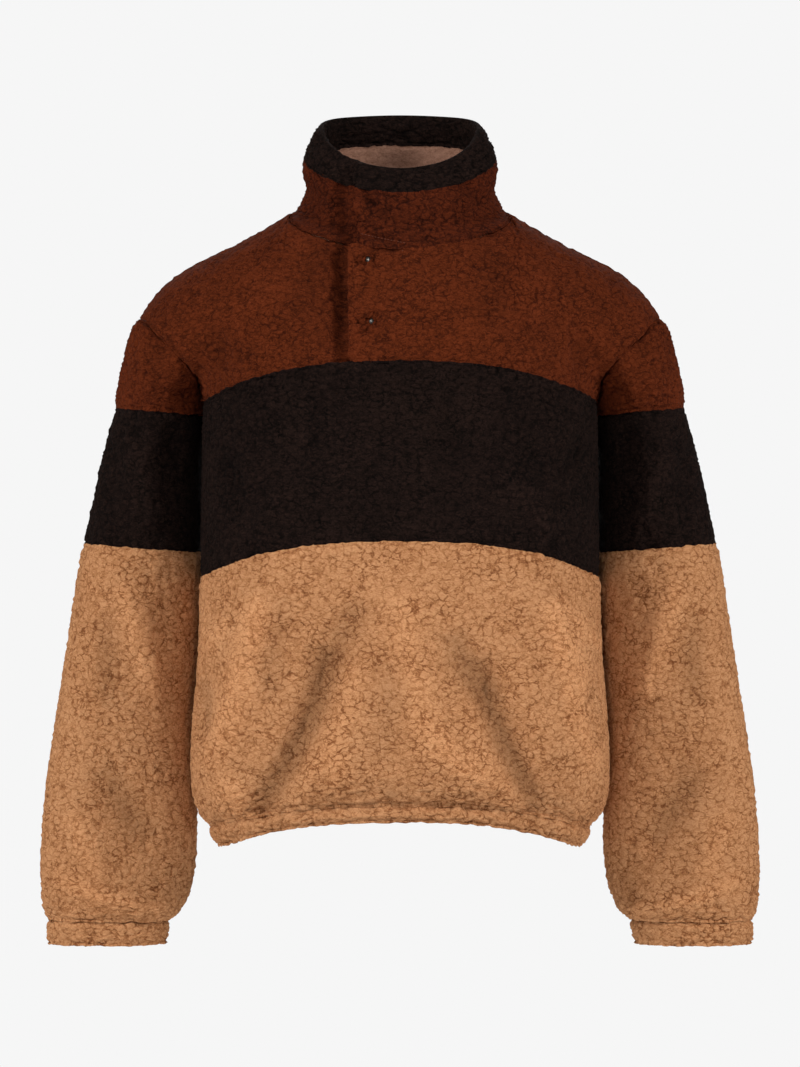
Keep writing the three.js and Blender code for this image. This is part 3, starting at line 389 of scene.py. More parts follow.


def sherpa(name, low, middle, high, crumbled, sheen=0.12, shine=0.06):
    """Sherpa fleece: matt curled polyester, darker down in its cracks as painted shade and paler at its tips
    as painted light.
    crumbled is how far the pile has parted into crumbs; the rest of its relief is single curls."""
    made = bpy.data.materials.new(name)
    made.use_nodes = True
    tree = made.node_tree
    tree.nodes.clear()
    place = add(tree, "ShaderNodeAttribute", {"attribute_name": "cloth"}).outputs["Vector"]
    dome = add(
        tree,
        "ShaderNodeMapRange",
        {"interpolation_type": "SMOOTHSTEP"},
        {"Value": crumbs(tree, place, 1 / CRUMB), "From Min": 0.0, "From Max": CRACK_SHADE},
    )
    shut = add(tree, "ShaderNodeMath", {"operation": "SUBTRACT"}, {0: dome.outputs[0], 1: 1.0})
    shut = add(
        tree,
        "ShaderNodeMath",
        {"operation": "MULTIPLY"},
        {0: shut.outputs[0], 1: openness(tree, place)},
    )
    laid = add(tree, "ShaderNodeMapping", None, {"Vector": place, "Scale": CURL_SHAPE})
    curl = add(
        tree,
        "ShaderNodeTexNoise",
        None,
        {
            "Vector": laid.outputs[0],
            "Scale": 1 / CURL,
            "Detail": 4.0,
            "Roughness": 0.62,
            "Distortion": 1.4,
        },
    )
    crumb_share = add(
        tree,
        "ShaderNodeMath",
        {"operation": "MULTIPLY"},
        {0: shut.outputs[0], 1: crumbled},
    )
    relief = add(
        tree,
        "ShaderNodeMath",
        {"operation": "ADD"},
        {0: curl.outputs[0], 1: crumb_share.outputs[0]},
    )
    cloud = add(tree, "ShaderNodeTexNoise", None, {"Vector": place, "Scale": DYE_CLOUDS, "Detail": 3.0})
    cloud = add(
        tree,
        "ShaderNodeMapRange",
        None,
        {
            "Value": cloud.outputs[0],
            "From Min": 0.3,
            "From Max": 0.7,
            "To Min": -DYE_SHIFT,
            "To Max": DYE_SHIFT,
        },
    )
    depth = add(
        tree,
        "ShaderNodeMath",
        {"operation": "ADD"},
        {0: relief.outputs[0], 1: cloud.outputs[0]},
    )
    # painted shade and light: the tones run from the low one down in the cracks and between the curls to the
    # high one at the tips, by the relief's height, with the dye's clouds on top
    tones = add(tree, "ShaderNodeValToRGB", None, {"Fac": depth.outputs[0]})
    tones.color_ramp.interpolation = "B_SPLINE"
    tones.color_ramp.elements[0].position = 0.16
    tones.color_ramp.elements[0].color = linear(low)
    tones.color_ramp.elements[1].position = 0.68
    tones.color_ramp.elements[1].color = linear(high)
    tones.color_ramp.elements.new(0.42).color = linear(middle)
    # painted shade and light: the fold's lift darkens the tone down in a trough and lightens it up on a
    # ridge, where the lamps leave a trough in shade and light a ridge
    fold = add(tree, "ShaderNodeAttribute", {"attribute_name": "fold"}).outputs["Fac"]
    fold_shade = add(
        tree,
        "ShaderNodeMapRange",
        {"interpolation_type": "SMOOTHERSTEP"},
        {"Value": fold, "From Min": TROUGH, "From Max": RIDGE, "To Min": 0.62, "To Max": 1.12},
    )
    toned = add(
        tree,
        "ShaderNodeVectorMath",
        {"operation": "SCALE"},
        {0: tones.outputs[0], "Scale": fold_shade.outputs[0]},
    )
    bump = add(
        tree,
        "ShaderNodeBump",
        None,
        {"Height": relief.outputs[0], "Strength": 0.75, "Distance": CURL_DEPTH},
    )
    shader = add(
        tree,
        "ShaderNodeBsdfPrincipled",
        None,
        {
            "Base Color": toned.outputs[0],
            "Roughness": 0.95,
            "Specular IOR Level": shine,
            "Sheen Weight": sheen,
            "Sheen Roughness": 0.5,
            "Sheen Tint": linear(high),
            "Normal": bump.outputs[0],
        },
    )
    add(tree, "ShaderNodeOutputMaterial", None, {"Surface": shader.outputs[0]})
    return made


# The body's form, in metres.
HALF_WIDTH = 0.205
HALF_DEPTH = 0.11
MIDDLE_DEPTH = -0.015
CLOSES_OVER = 0.17  # how far below the neck the shoulders begin to round over
NECK_STANDS = 0.12  # from here in to the middle, the form stands up more and more
SQUARENESS = 1.6  # an oval has 1, and a squarer form has more


def unit(way):
    """The same directions, each with a length of one."""
    return way / np.maximum(np.linalg.norm(way, axis=1, keepdims=True), 1e-9)


def round_trunk(place):
    """The way out of the body: a squarish oval that closes over the shoulders, but stands up at
    the neck."""
    x, y, z = place.T
    y = y - MIDDLE_DEPTH
    over = np.clip(z + CLOSES_OVER, 0, None) * np.clip(np.abs(x) / NECK_STANDS, 0, 1)
    way = np.stack(
        [
            np.sign(x) * np.abs(x / HALF_WIDTH) ** SQUARENESS / HALF_WIDTH,
            np.sign(y) * np.abs(y / HALF_DEPTH) ** SQUARENESS / HALF_DEPTH,
            over / CLOSES_OVER**2,
        ],
        axis=1,
    )
    return unit(way)


def points_of(mesh):
    """Where a mesh's points are, a row for each."""
    place = np.empty(len(mesh.vertices) * 3)
    mesh.vertices.foreach_get("co", place)
    return place.reshape(-1, 3)


def put(mesh, place):
    """Puts a mesh's points in new places."""
    mesh.vertices.foreach_set("co", place.ravel())
    mesh.update()


# One crease a row, in mm as seen from the front: where it starts, bends and ends, its half width,
# its height (a trough is negative), and which face of the garment it is on.
CREASE = np.dtype(
    [("x0", "f8"), ("z0", "f8"), ("x1", "f8"), ("z1", "f8"), ("x2", "f8"), ("z2", "f8")]
    + [("wide", "f8"), ("high", "f8"), ("face", "U5")]
)
CREASE_STEPS = 25  # points along a crease's curve
ROUND_SIDE = 0.25  # how far a crease on one face fades round the side towards the other


def crease(piece, rows, way_out):
    """Lays the creases in a piece as soft ridges and troughs, and marks how far each point is
    lifted and which way its wall faces."""
    mesh = piece.data
    place = points_of(mesh)
    facing = np.empty(len(mesh.vertices) * 3)
    mesh.vertex_normals.foreach_get("vector", facing)
    way = way_out(place)
    flat = place[:, [0, 2]] / MM
    lift = np.zeros(len(place))
    steps = np.linspace(0, 1, CREASE_STEPS)[:, None]
    for row in np.array(list(rows), dtype=CREASE):
        start = np.array([row["x0"], row["z0"]])
        middle = np.array([row["x1"], row["z1"]])
        end = np.array([row["x2"], row["z2"]])
        pull = 2 * middle - (start + end) / 2
        path = (1 - steps) ** 2 * start + 2 * steps * (1 - steps) * pull + steps**2 * end
        away = np.linalg.norm(flat[:, None, :] - path[None, :, :], axis=2)
        along = steps[np.argmin(away, axis=1), 0]
        fade = np.clip(4 * along * (1 - along), 0, 1) ** 0.5
        towards = way[:, 1] * (1 if row["face"] == "back" else -1)
        side = np.clip((towards + ROUND_SIDE) / (2 * ROUND_SIDE), 0, 1)
        lift += row["high"] * np.exp(-((away.min(axis=1) / row["wide"]) ** 2)) * fade * side
    put(mesh, place + way * lift[:, None] * MM)
    turned = (facing.reshape(-1, 3) * way).sum(axis=1)
    # the lift is also kept for the cloth's colour, which paints shade into the troughs and light onto the
    # ridges from it
    for name, values in (("facing", turned), ("fold", lift)):
        mark = mesh.attributes.new(name, "FLOAT", "POINT")
        mark.data.foreach_set("value", values.astype("f4"))


def middle_of(node):
    """The middle of a CAD node, from its mesh."""
    corners = [Vector(corner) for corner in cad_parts[node].bound_box]
    return np.array(sum(corners, Vector()) / len(corners))


# How the pile leans in over a snap and how it stands up round it, in mm: how far at most, at what
# distance from the snap's middle, and over how wide a ring.
PILE_LEANS = {"most": 2.3, "at": 5.4, "wide": 2.4}
PILE_STANDS = {"most": 1.6, "at": 5.6, "wide": 2.8}


def in_ring(reach, most, at, wide):
    """A size that is fullest at one distance and fades on both sides of it."""
    return most * np.exp(-(((reach - at) / wide) ** 2))


def hood(piece, snap):
    """Draws the pile in over a snap: the rim of its pit leans inwards and stands up round the cap."""
    mesh = piece.data
    place = points_of(mesh)
    away = (place - middle_of(snap)) / MM
    reach = np.maximum(np.linalg.norm(away[:, [0, 2]], axis=1), 0.01)
    outside = np.clip(0.5 - away[:, 1], 0, 1)
    drawn_in = in_ring(reach, **PILE_LEANS) * outside
    place[:, [0, 2]] -= away[:, [0, 2]] / reach[:, None] * drawn_in[:, None] * MM
    place[:, 1] -= in_ring(reach, **PILE_STANDS) * outside * MM
    put(mesh, place)


BEHIND = 30  # mm behind the middle of the neck, where a rise of the back is full


def draw_up(piece, rise, low, high, half):
    """Draws up the back of the body, in mm: by the whole rise down at the height low, by none at
    the height high, and by none at half a width from the middle."""
    place = points_of(piece.data)
    x, y, z = place.T / MM
    down = np.clip((high - z) / (high - low), 0, 1)
    behind = np.clip(y / BEHIND, 0, 1)
    place[:, 2] += rise * MM * down * behind * np.clip(1 - (x / half) ** 2, 0, 1)
    put(piece.data, place)


NEARLY_FLAT = 0.7  # radians between two triangles that still make one four-sided cell
NEARLY_SQUARE = 0.9  # radians that such a cell's corners may be off


def sew(
    node,
    cloth,
    creases=(),
    way_out=round_trunk,
    loft=0.0,
    inside=0.25,
    roll=1.1,
    snaps=(),
    drawn_up=None,
):
    panel = bmesh.new()
    panel.from_mesh(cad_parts[node].data)
    bmesh.ops.remove_doubles(panel, verts=panel.verts, dist=WELD)
    bmesh.ops.join_triangles(
        panel,
        faces=panel.faces,
        angle_face_threshold=NEARLY_FLAT,
        angle_shape_threshold=NEARLY_SQUARE,
    )
    mesh = bpy.data.meshes.new("cloth_" + node)
    panel.to_mesh(mesh)
    panel.free()
    piece = bpy.data.objects.new("cloth_" + node, mesh)
    bpy.context.scene.collection.objects.link(piece)
    shaped(piece, smooth_form, {"Levels": 2})
    for snap in snaps:
        hood(piece, snap)
    if drawn_up:
        draw_up(piece, **drawn_up)
    crease(piece, creases, way_out)
    sizes = {
        "Levels": 1,
        "Crumb Size": CRUMB,
        "Pile Depth": PILE,
        "Loft": loft * MM,
        "Inside Pile": inside,
        "Roll": roll * MM,
    }
    shaped(piece, pile_form, {**sizes, "Cloth": cloth})
    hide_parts(node)
    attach(piece, "root")
    return piece


# a brown so deep that only the tips of its curls catch the light, with hardly any sheen
espresso = sherpa(
    "espresso_sherpa_fleece",
    low="030201",
    middle="100907",
    high="2a1c17",
    crumbled=0.22,
    sheen=0.03,
)
sew(
    "front_chest_band",
    espresso,
    creases=[
        (-100, -270, -118, -292, -147, -323, 11, 5.3, "front"),
        (-176, -232, -168, -262, -150, -286, 9, -4.8, "front"),
        (-60, -216, -48, -262, -66, -304, 16, 3.8, "front"),
        (38, -214, 52, -250, 40, -318, 15, -3.8, "front"),
        (106, -262, 126, -290, 156, -318, 12, 5.8, "front"),
        (180, -226, 172, -250, 160, -268, 8, -5.3, "front"),
    ],
)
sew(
    "back_chest_band",
    espresso,
    creases=[
        (-150, -226, -128, -262, -118, -316, 12, -5.8, "back"),
        (-40, -236, -56, -280, -44, -330, 16, 4.3, "back"),
        (52, -228, 60, -268, 48, -312, 14, -4.3, "back"),
        (150, -220, 134, -268, 128, -322, 12, 5.3, "back"),
    ],
)


# Lower panels and hem: camel sherpa, the front one cut with a rounded top edge, and a narrow
# folded band sewn on below with elastic inside, which draws the panels into small puckers.

# a warm pale brown whose cracks show best, as their painted shade is far darker than its tips
camel = sherpa("camel_sherpa_fleece", low="784526", middle="b98054", high="d29c70", crumbled=0.32)
PUCKER_GAP = 19  # mm between the puckers that the elastic draws, more or less
LONG = (0.5, 1.25)  # how long a pucker is, as a share of its reach
LEAN = (-5, 5)  # mm that it leans to a side
WIDE = (3.5, 6)  # mm
DEEP = (0.8, 2.2)  # mm
APART = (0.65, 1.4)  # how far on the next one is, as a share of the gap


def puckers(face, first, last, line, reach, seed):
    """Short troughs that run up from an elastic seam, uneven in gap, length and depth."""
    chance = np.random.default_rng(seed)
    rows = []
    x = first
    while x < last:
        foot = line(x)
        rise = reach * chance.uniform(*LONG)
        lean = chance.uniform(*LEAN)
        wide = chance.uniform(*WIDE)
        deep = chance.uniform(*DEEP)
        bent = lean * 0.4
        rows.append((x, foot, x + bent, foot + rise / 2, x + lean, foot + rise, wide, -deep, face))
        x += PUCKER_GAP * chance.uniform(*APART)
    return rows


HEM_SIDE = -613  # height of the hem's seam at the sides of the front, in mm
HEM_ARCH = 26  # how much higher it is in the middle
HEM_HALF = 190  # from the middle to where the arch ends
HEM_DEPTH = 22  # from the hem's seam down to its edge
BACK_SEAM = -605  # height of its seam at the back
BACK_EDGE = -626  # height of its edge at the back
# The back of the hem is drawn up in the middle, so that it doesn't hang below the front's arch.
BACK_HEM = {"rise": 9, "low": -600, "high": -500, "half": HEM_HALF}
# The elastic's seam pulls a groove into the pile, all along the hem.
FRONT_GROOVE = [(-198, -615, 0, -587, 198, -615, 4, -4.2, "front")]
BACK_GROOVE = [(-198, -613, 0, -597, 198, -613, 4, -4.2, "back")]


def hem_line(x):
    """Height of the hem's seam across the front, which arches in the middle."""
    return HEM_SIDE + HEM_ARCH * (1 - min(abs(x) / HEM_HALF, 1) ** 2)


sew(
    "front_lower_band",
    camel,
    loft=1.0,
    roll=1.8,
    creases=[
        (-140, -384, -150, -450, -186, -560, 13, 8.5, "front"),
        (-112, -384, -124, -440, -128, -490, 12, -3.5, "front"),
        (-38, -386, -58, -425, -86, -474, 13, -5.0, "front"),
        (-70, -430, -92, -510, -146, -600, 12, -11.0, "front"),
        (-44, -450, -62, -512, -108, -590, 12, 3.5, "front"),
        (-66, -528, -60, -552, -70, -576, 10, 3.5, "front"),
        (-166, -406, -178, -420, -192, -436, 7, 4.0, "front"),
        (-198, -462, -190, -490, -194, -524, 8, -4.0, "front"),
        (-172, -556, -162, -582, -140, -600, 13, 5.0, "front"),
        (0, -372, 8, -440, 26, -508, 15, 4.0, "front"),
        (22, -496, 52, -542, 108, -576, 14, 6.0, "front"),
        (-16, -440, -10, -490, -24, -548, 14, -3.0, "front"),
        (50, -414, 64, -450, 92, -492, 13, -6.0, "front"),
        (74, -440, 98, -516, 138, -596, 11, -10.0, "front"),
        (62, -476, 84, -536, 120, -600, 10, 3.0, "front"),
        (148, -386, 166, -450, 188, -562, 13, 8.5, "front"),
        (170, -402, 182, -418, 198, -436, 7, 4.0, "front"),
        (190, -470, 182, -500, 194, -536, 8, -4.0, "front"),
    ]
    + FRONT_GROOVE
    + puckers("front", -178, 182, hem_line, 26, 3),
)
sew(
    "back_lower_band",
    camel,
    loft=1.0,
    roll=1.8,
    drawn_up=BACK_HEM,
    creases=[
        (-150, -380, -158, -460, -176, -560, 14, 6.5, "back"),
        (-98, -384, -112, -470, -142, -592, 14, -6.5, "back"),
        (-70, -440, -84, -510, -112, -590, 14, 3.5, "back"),
        (-20, -420, -26, -500, -46, -590, 15, -4.0, "back"),
        (16, -380, 20, -450, 10, -530, 16, 4.2, "back"),
        (60, -400, 76, -480, 112, -590, 14, -6.0, "back"),
        (96, -400, 116, -480, 146, -580, 15, 4.5, "back"),
        (172, -400, 166, -470, 178, -560, 11, -4.5, "back"),
    ]
    + BACK_GROOVE
    + puckers("back", -170, 176, lambda x: BACK_SEAM, 24, 5),
)
sew(
    "hem_band",
    camel,
    loft=1.2,
    roll=2.6,
    drawn_up=BACK_HEM,
    creases=FRONT_GROOVE
    + BACK_GROOVE
    + puckers("front", -176, 180, lambda x: hem_line(x) - HEM_DEPTH, 16, 7)
    + puckers("back", -170, 176, lambda x: BACK_EDGE, 16, 11),
)


# Yokes: rust sherpa over the shoulders. The front one is cut in two, and its left part laps
# over the right as a short placket, with an edge turned under and held by two snaps.

# a deep red brown, even and soft, that brightens only at its tips
rust = sherpa("rust_sherpa_fleece", low="250b04", middle="4c1e0b", high="6c2f16", crumbled=0.22)
sew(
    "front_yoke_right",
    rust,
    creases=[
        (-72, -30, -88, -70, -84, -120, 14, -4.0, "front"),
        (-120, -70, -140, -100, -176, -120, 14, 3.2, "front"),
        (-60, -22, -61, -80, -58, -152, 8, -4.0, "front"),
        (-54, -30, -54, -92, -53, -162, 4.5, -6.5, "front"),
        (-184, -120, -176, -150, -182, -186, 9, -3.6, "front"),
    ],
)
flap = sew(
    "front_yoke_left",
    rust,
    snaps=("snap_upper", "snap_lower"),
    creases=[
        (-45, -26, -44, -90, -45, -160, 6, 5.5, "front"),
        (-36, -38, -16, -43, 4, -47, 3, -4.5, "front"),
        (70, -34, 96, -70, 92, -120, 14, -3.2, "front"),
        (110, -66, 140, -96, 178, -112, 13, 3.2, "front"),
        (20, -60, 8, -100, 16, -140, 14, 2.5, "front"),
        (184, -122, 176, -150, 184, -188, 9, -3.6, "front"),
    ],
)
sew(
    "back_yoke",
    rust,
    creases=[
        (-90, -60, -120, -100, -128, -160, 15, -4.8, "back"),
        (-20, -50, -34, -110, -24, -170, 16, 3.5, "back"),
        (60, -70, 88, -110, 92, -180, 14, -4.8, "back"),
        (150, -80, 140, -120, 158, -170, 12, 4.4, "back"),
    ],
)


# Snaps: two small press caps of brushed stainless steel, pressed through the flap so that the
# pile stands round them and only a glint shows.
CAP_RADIUS = 4.2 * MM
CAP_DOME = 1.3 * MM  # from the cap's rolled edge up to its middle
SUNK = 1.8 * MM  # from the solid's front down to the cap's, as the pile rises round it
CAP_STEPS = 7  # points from the middle of the dome to its edge
BRUSHED = (400.0, 400.0, 6000.0)  # brush lines a metre: each 2.5 mm long and 0.17 mm wide
# a small grey glint among the pile, blurred along its brushed lines
steel = bpy.data.materials.new("brushed_stainless_steel")
steel.use_nodes = True
tree = steel.node_tree
tree.nodes.clear()
place = add(tree, "ShaderNodeTexCoord").outputs["Object"]
lines = add(tree, "ShaderNodeMapping", None, {"Vector": place, "Scale": BRUSHED})
brush = add(tree, "ShaderNodeTexNoise", None, {"Vector": lines.outputs[0], "Scale": 1.0, "Detail": 2.0})
gloss = add(
    tree, "ShaderNodeMapRange", None, {"Value": brush.outputs[0], "To Min": 0.25, "To Max": 0.5}
)
shader = add(
    tree,
    "ShaderNodeBsdfPrincipled",
    None,
    {"Base Color": linear("66635f"), "Metallic": 1.0, "Roughness": gloss.outputs[0]},
)
add(tree, "ShaderNodeOutputMaterial", None, {"Surface": shader.outputs[0]})
for node in ("snap_upper", "snap_lower"):
    middle = middle_of(node)
    fronts = [corner[1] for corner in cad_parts[node].bound_box]
    front, back = min(fronts) + SUNK, max(fronts)
    turned = [
        (reach, front + CAP_DOME * (reach / CAP_RADIUS) ** 2)
        for reach in np.linspace(0, CAP_RADIUS, CAP_STEPS)
    ]
    turned += [(CAP_RADIUS, back), (0.0, back)]
    profile = bmesh.new()
    points = [profile.verts.new((middle[0] + reach, depth, middle[2])) for reach, depth in turned]
    edges = [profile.edges.new(pair) for pair in zip(points, points[1:])]
    bmesh.ops.spin(
        profile,
        geom=points + edges,
        cent=(middle[0], 0, middle[2]),
        axis=(0, 1, 0),
        angle=2 * math.pi,
        steps=32,
    )
    bmesh.ops.remove_doubles(profile, verts=profile.verts, dist=WELD)
    bmesh.ops.dissolve_degenerate(profile, edges=profile.edges, dist=WELD)
    bmesh.ops.recalc_face_normals(profile, faces=profile.faces)
    mesh = bpy.data.meshes.new("cap_" + node)
    profile.to_mesh(mesh)
    profile.free()
    mesh.materials.append(steel)
    cap = bpy.data.objects.new("cap_" + node, mesh)
    bpy.context.scene.collection.objects.link(cap)
    for face in mesh.polygons:
        face.use_smooth = True
    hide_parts(node)
    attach(cap, "root")


# Sleeves: each is a tube in three bands, a rust cap set into the armhole, an espresso band and
# a long camel one, with a narrow elastic cuff that gathers the end.

# the line down a sleeve's middle, in metres, from the cuff up
SLEEVE_MIDDLE = {
    "height": [-0.74, -0.655, -0.484, -0.345, -0.198, -0.13],
    "x": [0.295, 0.284, 0.2715, 0.2595, 0.2375, 0.2185],
    "y": [0.029, 0.033, 0.032, 0.0265, 0.021, 0.012],
}
SLEEVE_TOP = -0.15  # where a sleeve begins to close over the shoulder
SLEEVE_CLOSES = 1.2  # how fast it does


def round_sleeve(place):
    """The way out of a sleeve, from the line down its middle."""
    x, y, z = place.T
    mid_x = np.interp(z, SLEEVE_MIDDLE["height"], SLEEVE_MIDDLE["x"])
    mid_y = np.interp(z, SLEEVE_MIDDLE["height"], SLEEVE_MIDDLE["y"])
    over = np.clip(z - SLEEVE_TOP, 0, None) * SLEEVE_CLOSES
    return unit(np.stack([x - np.sign(x) * mid_x, y - mid_y, over], axis=1))


CUFF_SEAM = {"inner": 214, "outer": 356, "height": -709}  # mm, on the left sleeve
CUFF_EDGE = {"inner": 234, "outer": 352, "height": -735}


def gathers(sign, inner, outer, height, reach, seeds):
    """Puckers on the front and the back of a sleeve, all round an elastic seam."""
    first, last = sorted([sign * inner, sign * outer])
    rows = []
    for face, seed in zip(("front", "back"), seeds):
        rows += puckers(face, first, last, lambda x: height, reach, seed)
    return rows


for side, sign in (("right", -1), ("left", 1)):
    sew(
        f"sleeve_{side}_cap",
        rust,
        way_out=round_sleeve,
        creases=[
            (sign * 232, -120, sign * 240, -150, sign * 236, -190, 9, -2.9, "front"),
            (sign * 250, -120, sign * 246, -150, sign * 256, -180, 9, -2.9, "back"),
        ],
    )
    sew(
        f"sleeve_{side}_band",
        espresso,
        way_out=round_sleeve,
        creases=[
            (sign * 262, -236, sign * 250, -276, sign * 238, -320, 12, 4.8, "front"),
            (sign * 286, -230, sign * 282, -262, sign * 290, -300, 9, -4.0, "front"),
            (sign * 230, -214, sign * 224, -240, sign * 228, -262, 8, -4.8, "front"),
            (sign * 250, -240, sign * 262, -280, sign * 256, -330, 12, -4.8, "back"),
        ],
    )
    sew(
        f"sleeve_{side}_lower",
        camel,
        way_out=round_sleeve,
        loft=1.0,
        roll=1.8,
        creases=[
            (sign * 273, -370, sign * 256, -430, sign * 240, -490, 12, 5.3, "front"),
            (sign * 300, -400, sign * 290, -450, sign * 296, -500, 12, -4.0, "front"),
            (sign * 300, -552, sign * 272, -596, sign * 246, -634, 16, -5.3, "front"),
            (sign * 330, -600, sign * 312, -630, sign * 300, -668, 12, 4.0, "front"),
            (sign * 347, -663, sign * 290, -688, sign * 224, -701, 8, 4.8, "front"),
            (sign * 318, -470, sign * 290, -530, sign * 262, -590, 13, 5.3, "back"),
            (sign * 240, -420, sign * 262, -460, sign * 286, -500, 12, -5.3, "back"),
            (sign * 342, -640, sign * 290, -668, sign * 240, -688, 9, 4.8, "back"),
        ]
        + gathers(sign, **CUFF_SEAM, reach=20, seeds=(13, 17)),
    )
    sew(
        f"cuff_{side}",
        camel,
        way_out=round_sleeve,
        loft=1.2,
        roll=2.4,
        creases=gathers(sign, **CUFF_EDGE, reach=14, seeds=(19, 23)),
    )


# Collar: a standing band of rust sherpa, faced with a thinner biscuit fleece and bound at the
# top with a folded strip of espresso sherpa. It laps at the front with the placket.

# the yokes' rust a shade deeper, as painted shade: the same dyed cloth, darkened for the collar, whose front
# stands in shade
shaded_rust = sherpa(
    "rust_sherpa_fleece_painted_shade", low="1f0903", middle="40180a", high="5e2711", crumbled=0.3
)
# a pinkish pale brown, nearly smooth, seen only down the open neck
biscuit = sherpa("biscuit_brushed_fleece", low="6a4838", middle="8a6452", high="a37b67", crumbled=0.1)


# The neck's oval, in metres.
NECK_HALF_WIDTH = 0.1
NECK_HALF_DEPTH = 0.085
NECK_MIDDLE = -0.008


def round_neck(place):
    """The way out of the collar, which is level all round."""
    x, y = place[:, 0], place[:, 1] - NECK_MIDDLE
    return unit(np.stack([x / NECK_HALF_WIDTH**2, y / NECK_HALF_DEPTH**2, np.zeros_like(x)], axis=1))


# the collar's lap at the front, which its outside and its facing share
COLLAR_LAP = [
    (-42, 28, -31, 4, -12, -16, 4, -5.0, "front"),
    (-46, 22, -42, 0, -32, -24, 6, 4.0, "front"),
    (-61, 44, -57, 10, -55, -44, 6, -5.0, "front"),
]
collar = sew(
    "collar_outer",
    shaded_rust,
    way_out=round_neck,
    creases=[
        (-36, -30, -16, -35, 4, -39, 3, -4.5, "front"),
        (60, 30, 66, 14, 84, 0, 8, -3.2, "front"),
        (-92, 30, -84, 12, -88, -8, 8, -3.2, "front"),
        (-50, 50, -44, 36, -52, 20, 9, 2.2, "back"),
        (40, 48, 52, 34, 46, 14, 9, -2.9, "back"),
    ]
    + COLLAR_LAP,
)
sew(
    "collar_lining",
    biscuit,
    way_out=round_neck,
    inside=0.7,
    creases=COLLAR_LAP,
)
sew(
    "collar_band",
    espresso,
    way_out=round_neck,
    inside=1.0,
)


# Topstitching: two short rows of polyester thread that hold the flap's corner to the collar, one
# on each side of their seam. The pile swallows most of it, and a few stitches show.
STITCH = 2.6 * MM
STITCH_GAP = 0.8 * MM
THREAD_RADIUS = 0.45 * MM
ROW_STEPS = 15  # points along a row where it is laid on the pile
TWIST = 12 * MM  # the wave's size, which goes from bright to dull and back in 11 mm of a row
# a dull red brown line that is a little brighter and duller by turns along its length. The turns
# are far coarser than a real thread's plies of 0.6 mm, which are too fine to see from here.
thread = bpy.data.materials.new("spun_polyester_thread")
thread.use_nodes = True
tree = thread.node_tree
tree.nodes.clear()
place = add(tree, "ShaderNodeTexCoord").outputs["Object"]
twist = add(
    tree,
    "ShaderNodeTexWave",
    {"bands_direction": "DIAGONAL"},
    {"Vector": place, "Scale": 1 / TWIST},
)
plies = add(
    tree,
    "ShaderNodeBump",
    None,
    {"Height": twist.outputs[0], "Strength": 0.4, "Distance": 0.1 * MM},
)
shader = add(
    tree,
    "ShaderNodeBsdfPrincipled",
    None,
    {
        "Base Color": linear("54240f"),
        "Roughness": 0.6,
        "Specular IOR Level": 0.3,
        "Normal": plies.outputs[0],
    },
)
add(tree, "ShaderNodeOutputMaterial", None, {"Surface": shader.outputs[0]})

# beads of thread along a row's line, one for each stitch
stitches, into = geometry_tree(
    "topstitches",
    {
        "Stitch Length": "Float",
        "Stitch Gap": "Float",
        "Thread Radius": "Float",
        "Thread": "Material",
    },
)
path = add(stitches, "GeometryNodeMeshToCurve", None, {"Mesh": into["Geometry"]})
pitch = add(
    stitches,
    "ShaderNodeMath",
    {"operation": "ADD"},
    {0: into["Stitch Length"], 1: into["Stitch Gap"]},
)
holes = add(
    stitches,
    "GeometryNodeCurveToPoints",
    {"mode": "LENGTH"},
    {"Curve": path.outputs[0], "Length": pitch.outputs[0]},
)
half = add(
    stitches, "ShaderNodeMath", {"operation": "MULTIPLY"}, {0: into["Stitch Length"], 1: 0.5}
)
size = add(
    stitches,
    "ShaderNodeCombineXYZ",
    None,
    {"X": into["Thread Radius"], "Y": into["Thread Radius"], "Z": half.outputs[0]},
)
bead = add(stitches, "GeometryNodeMeshUVSphere", None, {"Segments": 8, "Rings": 6, "Radius": 1.0})
sewn = add(
    stitches,
    "GeometryNodeInstanceOnPoints",
    None,
    {
        "Points": holes.outputs["Points"],
        "Instance": bead.outputs["Mesh"],
        "Rotation": holes.outputs["Rotation"],
        "Scale": size.outputs[0],
    },
)
real = add(stitches, "GeometryNodeRealizeInstances", None, {"Geometry": sewn.outputs[0]})
dressed = add(
    stitches,
    "GeometryNodeSetMaterial",
    None,
    {"Geometry": real.outputs[0], "Material": into["Thread"]},
)
add(stitches, "NodeGroupOutput", None, {"Geometry": dressed.outputs[0]})

# each row's name, the panel it is sewn through, and where it starts and ends, in mm from the front
ROWS = [
    ("stitches_collar", collar, (-37, -30), (4, -39)),
    ("stitches_flap", flap, (-35, -38), (3, -47)),
]
for name, panel, start, end in ROWS:
    surface = BVHTree.FromPolygons(
        [corner.co for corner in panel.data.vertices],
        [face.vertices for face in panel.data.polygons],
    )
    spots = []
    for share in np.linspace(0, 1, ROW_STEPS):
        x, z = np.array(start) * (1 - share) + np.array(end) * share
        spot = surface.ray_cast(Vector((x * MM, -1, z * MM)), Vector((0, 1, 0)))[0]
        if spot:
            spots.append(spot)
    mesh = bpy.data.meshes.new(name)
    mesh.from_pydata(spots, [(n, n + 1) for n in range(len(spots) - 1)], [])
    row = bpy.data.objects.new(name, mesh)
    bpy.context.scene.collection.objects.link(row)
    sizes = {
        "Stitch Length": STITCH,
        "Stitch Gap": STITCH_GAP,
        "Thread Radius": THREAD_RADIUS,
    }
    shaped(row, stitches, {**sizes, "Thread": thread})
    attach(row, "root")


